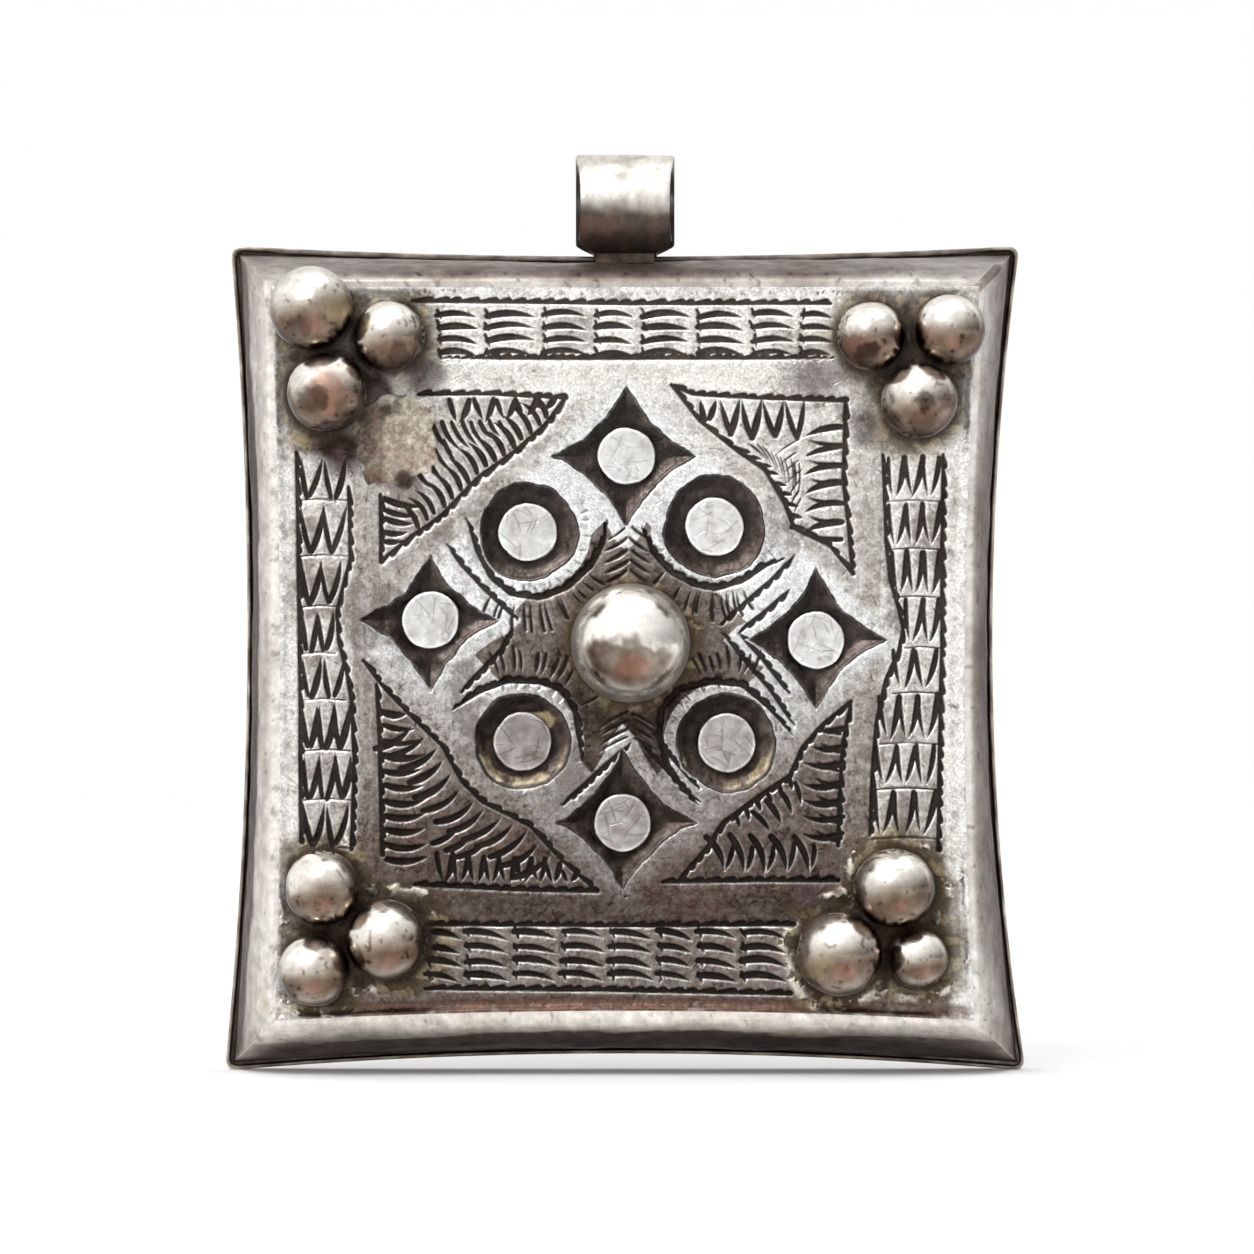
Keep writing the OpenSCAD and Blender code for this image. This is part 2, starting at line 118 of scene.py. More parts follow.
# Windows as (u, v, up, right, down, left) from the centre to each point
diamonds = {
    "diamond_disc_top": (0.1, 14.8, 5.5, 5.3, 5.5, 5.6),
    "diamond_disc_right": (14.3, 1.0, 5.4, 5.4, 5.2, 5.3),
    "diamond_disc_bottom": (-0.2, -12.7, 5.7, 5.5, 5.4, 5.0),
    "diamond_disc_left": (-14.6, 2.5, 4.8, 5.2, 5.4, 5.5),
}
rings = {
    "ring_disc_upper_left": (-7.3, 9.1, 3.7),
    "ring_disc_upper_right": (6.7, 9.5, 3.8),
    "ring_disc_lower_right": (7.6, -6.7, 3.7),
    "ring_disc_lower_left": (-7.7, -6.6, 3.6),
}
diamond_disc_r = 2.2
ring_disc_r = 2.25
boss_at = (0.4, 0.8)

# Balls of each corner as (in from the side, in from the end, radius)
ball_lists = {
    "top_left": (0, [(3.5, 2.1, 3.15), (9.3, 4.2, 2.7), (4.7, 8.4, 3.05)]),
    "top_right": (1, [(8.6, 4.2, 2.6), (2.7, 3.7, 2.7), (5.0, 9.0, 2.9)]),
    "bottom_right": (2, [(6.5, 10.4, 3.05), (10.6, 5.5, 3.2), (4.7, 5.1, 2.25)]),
    "bottom_left": (3, [(4.0, 10.4, 2.85), (8.8, 6.5, 3.05), (3.4, 4.2, 2.7)]),
}
balls = {}
for corner_name, (corner, places) in ball_lists.items():
    for number, (side_in, end_in, radius) in enumerate(places, 1):
        centre = rim_corners[corner] + inward[corner] * (side_in, end_in)
        balls["ball_%s_%d" % (corner_name, number)] = (centre[0], centre[1], radius)

# Colours, linear
black_patina = np.array([0.010, 0.0075, 0.006])
brown_patina = np.array([0.034, 0.021, 0.014])
tan_solder = np.array([0.42, 0.335, 0.20])
olive_stain = np.array([0.115, 0.083, 0.040])
copper_stain = np.array([0.30, 0.155, 0.105])
mauve_scorch_and_shadow = np.array([0.088, 0.060, 0.064])
cream_solder = np.array([0.62, 0.54, 0.40])
copper_red_reflection = np.array([0.34, 0.175, 0.12])
pale_paper = np.array([0.66, 0.55, 0.36])
stained_paper = np.array([0.42, 0.31, 0.17])
worn_paper = np.array([0.30, 0.21, 0.11])
# Hues that silver is multiplied by
warm_hue = np.array([1.0, 0.985, 0.965])
cool_hue = np.array([0.965, 0.985, 1.01])
amber_hue = np.array([1.0, 0.945, 0.875])
run_hue = np.array([1.0, 0.93, 0.80])
crust_hue = np.array([1.0, 0.95, 0.84])
lump_hue = np.array([1.0, 0.94, 0.82])
edge_hue = np.array([1.0, 0.93, 0.82])
ball_hue = np.array([1.0, 0.985, 0.95])
ball_dull_hue = np.array([1.0, 0.88, 0.73])
boss_dull_hue = np.array([1.0, 0.95, 0.82])
disc_hue = np.array([0.97, 0.985, 1.0])
bail_hue = np.array([1.0, 0.97, 0.92])
# Worn silver from bright (tone 0) through grey and brown-mauve tarnish to black; the same scale also carries
# painted light and shade
tone_stops = [0.0, 0.25, 0.5, 0.75, 1.0, 1.25, 1.5, 1.75]
tone_colours = np.array([
    [0.94, 0.925, 0.895], [0.72, 0.695, 0.665], [0.48, 0.45, 0.425], [0.30, 0.265, 0.245],
    [0.172, 0.138, 0.122], [0.090, 0.066, 0.056], [0.038, 0.026, 0.020], [0.014, 0.010, 0.008],
])


# Small helpers

def ease(low, high, x):
    """Smooth step from 0 at low to 1 at high, either way round."""
    t = np.clip((x - low) / (high - low), 0, 1)
    return t * t * (3 - 2 * t)


def mix(a, b, share):
    """Blend of two colours or arrays of colours, by a share for each point."""
    share = np.asarray(share)[..., None]
    return a * (1 - share) + b * share


def silver_tone(tone):
    """Colour of silver at each degree of tarnish; many tones also stand for painted light and shade."""
    return np.stack([np.interp(tone, tone_stops, tone_colours[:, i]) for i in range(3)], -1)


noise_tables = {}
noise_cells = 24


def noise(x, y, z, seed):
    """Smooth lattice noise from 0 to 1, for points measured in cells; z may be one level for all."""
    if seed not in noise_tables:
        noise_tables[seed] = np.random.default_rng(seed).random((noise_cells,) * 3).astype(np.float32)
    table = noise_tables[seed]
    n = noise_cells
    flat = np.ndim(z) == 0
    cells, steps = [], []
    for c in np.broadcast_arrays(x, y) if flat else np.broadcast_arrays(x, y, z):
        c = c.astype(np.float32)
        low = np.floor(c)
        part = c - low
        cells.append(low.astype(np.int32) % n)
        steps.append(part * part * (3 - 2 * part))
    if flat:
        plane = table[int(z) % n]
        i, j = cells
        after_i, after_j = (i + 1) % n, (j + 1) % n
        low = plane[i, j] * (1 - steps[0]) + plane[after_i, j] * steps[0]
        high = plane[i, after_j] * (1 - steps[0]) + plane[after_i, after_j] * steps[0]
        return low * (1 - steps[1]) + high * steps[1]
    total = 0
    for i in (0, 1):
        for j in (0, 1):
            for k in (0, 1):
                share = abs(1 - i - steps[0]) * abs(1 - j - steps[1]) * abs(1 - k - steps[2])
                total = total + share * table[(cells[0] + i) % n, (cells[1] + j) % n, (cells[2] + k) % n]
    return total


def cloud(x, y, z, cell, seed, octaves=4):
    """Noise in octaves, from 0 to 1, with its largest features one cell across."""
    total, share, whole = 0, 1.0, 0.0
    for octave in range(octaves):
        level = z if np.ndim(z) == 0 else z / cell
        total = total + share * noise(x / cell + 7.3 * octave, y / cell, level, seed + octave)
        whole += share
        share *= 0.5
        cell /= 2.07
    return total / whole


def unit(vectors):
    """Vectors brought to a length of one."""
    return vectors / np.maximum(np.linalg.norm(vectors, axis=-1, keepdims=True), 1e-12)


def side_point(corners, bows, k, t):
    """Points at shares t of side k, on a curve that bows inward."""
    a, b = corners[k], corners[(k + 1) % 4]
    along = unit(b - a)
    t = np.asarray(t, float)
    bow = bows[k] * 4 * t * (1 - t)
    return a + (b - a) * t[..., None] + np.array([along[1], -along[0]]) * bow[..., None]


def rounded_side(corners, bows, k, t, round_r):
    """As side_point, but from the middle of one rounded corner to the next."""
    a, b, c = corners[k], corners[(k + 1) % 4], corners[(k + 2) % 4]
    before = corners[(k - 1) % 4]
    trim = round_r / np.linalg.norm(b - a)
    trim_before = round_r / np.linalg.norm(a - before)
    trim_after = round_r / np.linalg.norm(c - b)
    turn = 0.8 * trim
    t = np.asarray(t, float)
    inner = trim + (1 - 2 * trim) * np.clip((t - turn) / (1 - 2 * turn), 0, 1)
    out = side_point(corners, bows, k, inner)

    def corner_arc(p, q, r, s):
        s = s[..., None]
        return p * (1 - s) ** 2 + q * 2 * s * (1 - s) + r * s ** 2

    first = t < turn
    last = t > 1 - turn
    p = side_point(corners, bows, (k - 1) % 4, 1 - trim_before)
    r = side_point(corners, bows, k, trim)
    out[first] = corner_arc(p, a, r, 0.5 + 0.5 * t[first] / turn)
    p = side_point(corners, bows, k, 1 - trim)
    r = side_point(corners, bows, (k + 1) % 4, trim_after)
    out[last] = corner_arc(p, b, r, 0.5 - 0.5 * (1 - t[last]) / turn)
    return out


def patch(corners, bows, round_r, s, t):
    """Points (u, v) of the area inside four bowed sides, s to the right and t down."""
    top = rounded_side(corners, bows, 0, s, round_r)
    right = rounded_side(corners, bows, 1, t, round_r)
    bottom = rounded_side(corners, bows, 2, 1 - s, round_r)
    left = rounded_side(corners, bows, 3, 1 - t, round_r)
    ends = np.array([0.0, 1.0])
    top_left, top_right = rounded_side(corners, bows, 0, ends, round_r)
    low_right, low_left = rounded_side(corners, bows, 2, ends, round_r)
    s2, t2 = s[None, :, None], t[:, None, None]
    ruled = top[None] * (1 - t2) + bottom[None] * t2 + left[:, None] * (1 - s2) + right[:, None] * s2
    upper = top_left * (1 - s2) + top_right * s2
    lower = low_left * (1 - s2) + low_right * s2
    return ruled - (upper * (1 - t2) + lower * t2)


def to_scene(u, v, w):
    """Metres in the frame's own axes."""
    return np.stack([u, bail_depth - w, v + plate_mid], -1) / 1000


def make_piece(name, points, faces, nodes, body, material, tint, rough, metal, sharp=None):
    """Mesh object with its colour, roughness and metal share at each point."""
    mesh = bpy.data.meshes.new(name)
    mesh.from_pydata(points.reshape(-1, 3).tolist(), [], faces)
    count = len(mesh.vertices)
    colours = np.ones((count, 4), np.float32)
    colours[:, :3] = np.clip(np.asarray(tint).reshape(-1, 3), 0, 1)
    layer = mesh.attributes.new("tint", "FLOAT_COLOR", "POINT")
    layer.data.foreach_set("color", colours.ravel())
    for title, values in (("rough", rough), ("metal", metal)):
        layer = mesh.attributes.new(title, "FLOAT", "POINT")
        values = np.broadcast_to(np.asarray(values, np.float32).ravel(), (count,))
        layer.data.foreach_set("value", np.clip(values, 0, 1).astype(np.float32))
    mesh.polygons.foreach_set("use_smooth", np.ones(len(mesh.polygons), bool))
    if sharp is not None:
        mesh.set_sharp_from_angle(angle=math.radians(sharp))
    mesh.materials.append(material)
    mesh.validate()
    obj = bpy.data.objects.new(name, mesh)
    bpy.context.scene.collection.objects.link(obj)
    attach(obj, body)
    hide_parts(*nodes)
    return obj


def grid_faces(rows, columns, wrap_rows=False, wrap_columns=False, start=0, flip=False):
    """Four-sided faces of a grid of points, row after row."""
    out = []
    for i in range(rows if wrap_rows else rows - 1):
        for j in range(columns if wrap_columns else columns - 1):
            a = start + i * columns + j
            b = start + i * columns + (j + 1) % columns
            c = start + (i + 1) % rows * columns + (j + 1) % columns
            d = start + (i + 1) % rows * columns + j
            out.append((d, c, b, a) if flip else (a, b, c, d))
    return out


# Materials

def wire(tree, node, inputs):
    """Sets a node's inputs, each to a constant or to an output of another node."""
    for key, value in inputs.items():
        if isinstance(value, bpy.types.NodeSocket):
            tree.links.new(value, node.inputs[key])
        else:
            node.inputs[key].default_value = value


def add(tree, kind, inputs, **settings):
    """New shader node with its settings and inputs."""
    node = tree.nodes.new("ShaderNode" + kind)
    for key, value in settings.items():
        setattr(node, key, value)
    wire(tree, node, inputs)
    return node


def add_ramp(tree, factor, stops):
    """New colour ramp with its stops as (position, colour): first, last, then any between."""
    ramp = add(tree, "ValToRGB", {"Fac": factor})
    for i, (position, colour) in enumerate(stops):
        stop = ramp.color_ramp.elements[i] if i < 2 else ramp.color_ramp.elements.new(position)
        stop.position = position
        stop.color = (*colour, 1)
    return ramp.outputs["Color"]


def new_material(name):
    """Material with its node tree and its shader."""
    material = bpy.data.materials.new(name)
    material.use_nodes = True
    return material, material.node_tree, material.node_tree.nodes["Principled BSDF"]


def silver_material(name, grain, grain_depth, scratch_depth, speckle):
    """Worn silver: colour from the piece, with fine grain, scratches and specks of tarnish."""
    material, tree, shader = new_material(name)
    place = add(tree, "TexCoord", {}).outputs["Object"]
    tint, rough, metal = [add(tree, "Attribute", {}, attribute_name=title).outputs
                          for title in ("tint", "rough", "metal")]
    specks = add(tree, "TexNoise", {
        "Vector": place, "Scale": grain * 0.45, "Detail": 6.0, "Roughness": 0.65})
    speck_range = add(tree, "MapRange", {
        "Value": specks.outputs["Fac"], "From Min": 0.35, "From Max": 0.68,
        "To Min": 1.0 - speckle * 1.6, "To Max": 1.0 + speckle * 0.5})
    shade = add(tree, "VectorMath", {0: tint["Color"], "Scale": speck_range.outputs["Result"]},
                operation="SCALE")
    stretch = add(tree, "Mapping", {
        "Vector": place, "Rotation": (0.0, math.radians(33), 0.0), "Scale": (1.0, 1.0, 9.0)})
    scratches = add(tree, "TexNoise", {
        "Vector": stretch.outputs["Vector"], "Scale": grain * 0.35, "Detail": 3.0}).outputs["Fac"]
    rough_noise = add(tree, "Math", {0: scratches, 1: 0.22, 2: rough["Fac"]}, operation="MULTIPLY_ADD")
    rough_level = add(tree, "Math", {0: rough_noise.outputs["Value"], 1: 0.11},
                      operation="SUBTRACT", use_clamp=True)
    fine = add(tree, "TexNoise", {"Vector": place, "Scale": grain, "Detail": 4.0})
    bump_fine = add(tree, "Bump", {
        "Height": fine.outputs["Fac"], "Strength": grain_depth, "Distance": 0.00004})
    bump = add(tree, "Bump", {"Height": scratches, "Strength": scratch_depth, "Distance": 0.00003,
                              "Normal": bump_fine.outputs["Normal"]})
    wire(tree, shader, {
        "Base Color": shade.outputs["Vector"], "Roughness": rough_level.outputs["Value"],
        "Metallic": metal["Fac"], "Specular IOR Level": 0.15, "Normal": bump.outputs["Normal"]})
    return material


def patina_material(name, dark, light, scale, roughness, metallic):
    """Mottled dark metal for the solids that stay as they are."""
    material, tree, shader = new_material(name)
    place = add(tree, "TexCoord", {}).outputs["Object"]
    mottle = add(tree, "TexNoise", {
        "Vector": place, "Scale": scale, "Detail": 7.0, "Roughness": 0.65}).outputs["Fac"]
    bump = add(tree, "Bump", {"Height": mottle, "Strength": 0.4, "Distance": 0.00008})
    wire(tree, shader, {
        "Base Color": add_ramp(tree, mottle, [(0.32, dark), (0.72, light)]), "Roughness": roughness,
        "Metallic": metallic, "Normal": bump.outputs["Normal"]})
    return material


def paper_material():
    """Old rag paper: fibres, stains and a soft, dry surface."""
    material, tree, shader = new_material("old paper")
    place = add(tree, "TexCoord", {}).outputs["Object"]
    tint = add(tree, "Attribute", {}, attribute_name="tint").outputs["Color"]
    fibres = add(tree, "TexNoise", {
        "Vector": place, "Scale": 1400.0, "Detail": 8.0, "Distortion": 1.6}).outputs["Fac"]
    level = add(tree, "MapRange", {"Value": fibres, "To Min": 0.72, "To Max": 1.18})
    shade = add(tree, "VectorMath", {0: tint, "Scale": level.outputs["Result"]}, operation="SCALE")
    bump = add(tree, "Bump", {"Height": fibres, "Strength": 0.5, "Distance": 0.00006})
    wire(tree, shader, {
        "Base Color": shade.outputs["Vector"], "Roughness": 0.9, "Normal": bump.outputs["Normal"]})
    return material


def stage_material(name, glow):
    """Matt white that shows as white to the camera and in reflections, and keeps shadows."""
    material, tree, shader = new_material(name)
    wire(tree, shader, {"Base Color": (0.93, 0.93, 0.93, 1), "Roughness": 0.9, "Specular IOR Level": 0.0})
    ray = add(tree, "LightPath", {}).outputs
    mirrored = add(tree, "Math", {0: ray["Is Glossy Ray"], 1: ray["Is Transmission Ray"]},
                   operation="MAXIMUM")
    seen = add(tree, "Math", {0: ray["Is Camera Ray"], 1: mirrored.outputs["Value"]}, operation="MAXIMUM")
    share = add(tree, "Math", {0: seen.outputs["Value"], 1: glow}, operation="MULTIPLY")
    light = add(tree, "Emission", {"Color": (1, 1, 1, 1), "Strength": 1.0})
    blend = add(tree, "MixShader", {
        "Fac": share.outputs["Value"], 1: shader.outputs["BSDF"], 2: light.outputs["Emission"]})
    wire(tree, tree.nodes["Material Output"], {"Surface": blend.outputs["Shader"]})
    return material


plate_material = silver_material("chased silver", 11000.0, 0.3, 0.2, 0.24)
wall_material = silver_material("sheet silver", 1900.0, 0.3, 0.35, 0.2)
ball_material = silver_material("bright silver", 3200.0, 0.12, 0.12, 0.12)
boss_material = silver_material("polished silver", 3600.0, 0.06, 0.08, 0.08)
solder_material = patina_material("old solder", (0.030, 0.021, 0.014), (0.12, 0.09, 0.055),
                                  1500.0, 0.55, 0.7)
backing_material = patina_material("blackened silver", (0.012, 0.009, 0.008), (0.06, 0.045, 0.034),
                                   900.0, 0.6, 0.4)


# Relief of the plate, drawn on a fine grid

pitch = 0.05
half_across = 27.2
half_up = 28.4
grid_u = np.arange(-half_across, half_across + pitch / 2, pitch)
grid_v = np.arange(-half_up, half_up + pitch / 2, pitch)
at_u, at_v = np.meshgrid(grid_u.astype(np.float32), grid_v.astype(np.float32))
cuts = np.zeros_like(at_u)


def plate_cloud(level, cell, seed, octaves):
    """Noise over the drawn grid, at one level."""
    return cloud(at_u, at_v, level, cell, seed, octaves)


def span(low, high, axis):
    """Slice of a grid axis between two places."""
    first = int(np.clip((low - axis[0]) / pitch, 0, len(axis) - 1))
    last = int(np.clip((high - axis[0]) / pitch + 2, 1, len(axis)))
    return slice(first, last)


def carve(p, q, wide_p, wide_q, depth_p, depth_q):
    """One straight piece of a cut, with its width and depth changing along it."""
    reach = max(wide_p, wide_q) / 2
    rows = span(min(p[1], q[1]) - reach, max(p[1], q[1]) + reach, grid_v)
    columns = span(min(p[0], q[0]) - reach, max(p[0], q[0]) + reach, grid_u)
    du, dv = at_u[rows, columns] - p[0], at_v[rows, columns] - p[1]
    line = np.array([q[0] - p[0], q[1] - p[1]])
    length2 = max(line @ line, 1e-9)
    t = np.clip((du * line[0] + dv * line[1]) / length2, 0, 1)
    away = np.hypot(du - t * line[0], dv - t * line[1])
    half = (wide_p + (wide_q - wide_p) * t) / 2
    depth = depth_p + (depth_q - depth_p) * t
    shape = depth * np.clip(1.25 * (1 - (away / np.maximum(half, 1e-6)) ** 2), 0, 1)
    np.maximum(cuts[rows, columns], shape, out=cuts[rows, columns])


chance = np.random.default_rng(41)
stroke_depth = 0.34
line_depth = 0.30


def stroke(p, q, wide, bend, depth=stroke_depth):
    """Curved tapering punch mark from its wide end p to its point q."""
    p, q = np.array(p, float), np.array(q, float)
    jitter = chance.normal(0, 0.07, 4)
    p, q = p + jitter[:2], q + jitter[2:]
    wide = wide * (1 + chance.normal(0, 0.1))
    line = q - p
    across = np.array([-line[1], line[0]])
    middle = (p + q) / 2 + across * bend * (1 + chance.normal(0, 0.15))
    steps = 9
    t = np.linspace(0, 1, steps)[:, None]
    path = p * (1 - t) ** 2 + middle * 2 * t * (1 - t) + q * t ** 2
    taper = np.sin(np.pi * np.clip(0.28 + 0.74 * t[:, 0], 0, 1)) ** 0.8
    for i in range(steps - 1):
        carve(path[i], path[i + 1], wide * taper[i], wide * taper[i + 1],
              depth * (0.5 + 0.5 * taper[i]), depth * (0.5 + 0.5 * taper[i + 1]))


def follow(path, step):
    """Points at even steps along a path, eased through its corners."""
    path = np.array(path, float)
    lengths = np.r_[0, np.cumsum(np.hypot(*np.diff(path, axis=0).T))]
    count = max(int(lengths[-1] / step), 2)
    along = np.linspace(0, lengths[-1], count + 1)
    points = np.stack([np.interp(along, lengths, path[:, 0]), np.interp(along, lengths, path[:, 1])], 1)
    for _ in range(3):
        points[1:-1] = (points[:-2] + 2 * points[1:-1] + points[2:]) / 4
    return points


def groove(path, wide=0.5, depth=line_depth, tooth=0.95, taper=0.0):
    """Chased line made by a row of punch marks, so that its edges are toothed."""
    step = 0.14
    points = follow(path, step)
    count = len(points) - 1
    share, pace = 0.5, 0.0
    for i in range(count):
        if tooth:
            share += pace
            if i == 0 or share > 1:
                share = 0.0
                pace = step / tooth / chance.uniform(0.65, 1.5)
        swell = 0.55 + 0.7 * share if tooth else 1.0
        if taper:
            swell *= min(1.0, 0.25 + i / (taper * count), 0.25 + (count - 1 - i) / (taper * count))
        side = points[i + 1] - points[i]
        side = np.array([-side[1], side[0]]) / max(np.hypot(*side), 1e-6)
        shift = side * (0.14 * share - 0.06) if tooth else 0 * side
        carve(points[i] + shift, points[i + 1] + shift, wide * swell, wide * swell, depth, depth)


def stroke_row(first, last, count, wide, bend, depth=stroke_depth):
    """Strokes laid evenly between a first one and a last one, each as (wide end, point)."""
    first, last = np.array(first, float), np.array(last, float)
    for i in range(count):
        share = i / max(count - 1, 1)
        p, q = first * (1 - share) + last * share
        stroke(p, q, wide, bend, depth)


# Lines around the bands, bars and spandrels
toothed_lines = [
    [(-16.0, 26.5), (-0.4, 26.3), (15.4, 26.3)],
    [(-24.6, 15.1), (-24.4, 1.0), (-24.3, -14.1)],
    [(23.9, 14.9), (23.8, 7.0), (23.8, 1.0), (23.6, -8.0), (23.5, -14.7)],
    [(-15.0, -25.1), (-1.9, -25.2), (12.4, -25.5)],
    [(-20.7, 12.5), (-20.6, 7.0), (-21.2, 4.8), (-21.6, 3.1), (-21.5, 1.0), (-20.9, -1.2),
     (-20.5, -3.5), (-20.3, -8.0), (-20.5, -14.7)],
    [(19.4, 14.9), (19.6, 8.5), (19.9, 5.5), (20.5, 3.6), (20.9, 1.8), (20.6, 0.3),
     (19.6, -2.0), (18.9, -5.0), (18.6, -8.7), (18.4, -13.6)],
    [(-15.4, -20.3), (-0.4, -20.4), (12.7, -20.3)],
    [(-15.5, 19.5), (-10.1, 19.5), (-4.4, 19.2)],
    [(3.5, 20.2), (5.0, 19.5), (10.1, 19.2), (16.6, 19.0)],
    [(-18.3, 11.9), (-18.3, 6.9)],
    [(-18.6, -2.3), (-18.4, -6.5), (-18.2, -15.1)],
    [(16.6, 19.0), (16.4, 13.0), (16.8, 9.3), (17.1, 6.0)],
    [(17.0, -3.6), (16.4, -6.5), (16.1, -11.0), (16.0, -14.4)],
    [(-15.8, -17.3), (-7.9, -17.7), (-2.1, -17.8)],
    [(2.8, -17.1), (10.1, -17.0), (16.0, -17.0)],
    [(-4.4, 19.2), (-6.0, 17.1), (-8.3, 15.1), (-11.0, 13.2), (-13.9, 10.2), (-16.1, 8.7), (-18.3, 6.9)],
    [(3.5, 20.2), (5.6, 17.5), (8.6, 15.1), (10.5, 13.8), (12.0, 11.3), (12.7, 9.4),
     (15.4, 8.1), (17.1, 6.0)],
    [(-19.6, -0.5), (-18.2, -2.4), (-16.0, -4.7), (-13.7, -6.9), (-12.2, -9.6), (-10.7, -11.1),
     (-7.1, -12.9), (-4.7, -15.5), (-2.1, -17.8)],
    [(17.0, -3.6), (14.8, -5.4), (13.3, -7.1), (12.4, -9.2), (10.0, -10.8), (7.3, -12.8),
     (6.1, -14.7), (4.1, -17.0)],
]
plain_lines = [
    [(-13.9, 22.2), (-0.4, 22.2), (15.7, 22.2)],
    [(-13.4, 8.3), (-12.2, 6.6), (-10.5, 4.8), (-7.9, 2.4)],
    [(12.8, 7.4), (11.0, 5.5), (9.0, 3.8), (7.1, 2.1)],
    [(12.4, 4.8), (10.5, 3.1), (8.5, 1.6)],
    [(-8.3, 2.2), (-9.2, 0.3), (-10.7, -1.2), (-12.4, -3.0)],
    [(7.3, 1.6), (9.0, -0.5), (10.9, -2.7), (12.7, -5.4)],
    [(8.5, 1.6), (10.5, -0.6), (12.4, -3.1)],
    [(1.1, -6.6), (3.0, -8.6), (4.9, -10.6), (5.6, -11.2)],
    [(2.0, -5.7), (3.5, -7.8), (5.6, -10.2)],
    [(0.5, -6.7), (-1.6, -8.5), (-3.4, -10.2), (-4.8, -11.4)],
]
cup_lines = [
    [(-11.9, 10.2), (-11.0, 7.6), (-10.0, 5.7), (-8.5, 4.5), (-6.4, 4.2), (-4.3, 5.0), (-2.6, 6.6),
     (-1.6, 8.4), (-1.4, 10.0)],
    [(1.3, 9.5), (2.2, 7.5), (3.5, 6.1), (5.2, 5.2), (6.8, 4.9), (8.8, 5.5), (10.4, 6.6), (11.9, 7.1)],
    [(-13.0, -4.2), (-11.0, -2.8), (-8.8, -2.0), (-6.4, -2.1), (-4.7, -2.7), (-3.7, -4.4), (-3.4, -6.5),
     (-3.2, -8.0)],
    [(5.5, -11.4), (4.4, -10.2), (3.2, -8.4), (2.6, -6.1), (2.8, -4.1), (4.1, -2.7), (6.5, -2.1),
     (8.8, -2.3), (10.7, -3.9), (12.6, -6.1)],
]
for path in toothed_lines:
    groove(path)
for path in plain_lines:
    groove(path, 0.5, line_depth, 0.7, 0.2)
for path in cup_lines:
    groove(path, 0.62, 0.36, 0.8, 0.2)

# Strokes of the top band: columns of crescents, thick at the left, with light spines between
top_columns = [-14.4, -10.8, -6.5, -2.6, 0.9, 5.1, 9.2, 12.9, 15.8]
for left, right in zip(top_columns[:-1], top_columns[1:]):
    for row in range(4):
        level = 25.9 - 0.96 * row
        stroke((left + 0.42, level - 0.55), (right - 0.12, level - 0.72), 0.60, 0.17)
        stroke((left + 0.36, level - 0.05), (left + 0.62, level - 0.95), 0.26, 0.05)

# Strokes of the bottom band: columns of drooping crescents
bottom_columns = [-15.2, -12.2, -8.6, -5.0, -1.4, 2.2, 5.2, 8.5, 12.2]
for left, right in zip(bottom_columns[:-1], bottom_columns[1:]):
    for row in range(4):
        level = -20.95 - 1.06 * row
        stroke((left + 0.3, level + 0.05), (right - 0.05, level - 0.55), 0.62, 0.16)
        stroke((left + 0.3, level + 0.3), (left + 0.6, level - 0.6), 0.28, 0.05)


def vee(apex_u, apex_v, left, right, tall, wide_left, wide_right, heavy_foot=False):
    """Two claws that run down to one point, from tops that lie left and right of it."""
    for top_u, foot_u, wide, bend in ((apex_u - left, apex_u - 0.06, wide_left, -0.07),
                                      (apex_u + right, apex_u + 0.1, wide_right, 0.09)):
        top, foot = (top_u, apex_v + tall), (foot_u, apex_v)
        if heavy_foot:
            stroke(foot, top, wide, -bend)
        else:
            stroke(top, foot, wide, bend)


def line_u(path, level):
    """Where a line that runs downward crosses a level."""
    path = np.array(path, float)[::-1]
    return float(np.interp(level, path[:, 1], path[:, 0]))


def side_band(cells, left_line, right_line, wide_left, wide_right, heavy_foot):
    """Cells of paired claws between two upright lines; the thick one of each pair leans right."""
    claw_pitch = 1.4
    for high, low in zip(cells[:-1], cells[1:]):
        level = (high + low) / 2
        left, right = line_u(left_line, level) + 0.2, line_u(right_line, level) - 0.2
        count = max(round((right - left) / claw_pitch), 2)
        step = (right - left) / count
        for i in range(count):
            vee(left + step * (i + 0.36), low + 0.25, 0.36 * step, 0.58 * step, high - low - 0.45,
                wide_left, wide_right, heavy_foot)
        groove([(left, low), ((left + right) / 2, low + 0.12), (right, low)], 0.22, 0.15, 0)


left_cells = [14.9, 11.5, 7.3, 3.5, 0.0, -3.5, -7.3, -11.0, -14.6]
right_cells = [14.9, 11.4, 7.8, 4.2, 0.4, -3.0, -6.8, -10.2, -13.9]
side_band(left_cells, toothed_lines[1], toothed_lines[4], 0.50, 0.60, True)
side_band(right_cells, toothed_lines[5], toothed_lines[2], 0.38, 0.56, False)


def along(path, share):
    """Place at a share of a path's length."""
    path = np.array(path, float)
    lengths = np.r_[0, np.cumsum(np.hypot(*np.diff(path, axis=0).T))]
    at = share * lengths[-1]
    return np.array([np.interp(at, lengths, path[:, 0]), np.interp(at, lengths, path[:, 1])])


def feathers(path, first, last, count, start_off, end_off, wide, bend):
    """Strokes that start along a path, at even shares from first to last."""
    for i in range(count):
        share = first + (last - first) * i / (count - 1)
        place = along(path, share)
        stroke(place + start_off, place + end_off, wide, bend)


slant_top_left, slant_top_right, slant_bottom_left, slant_bottom_right = toothed_lines[-4:]

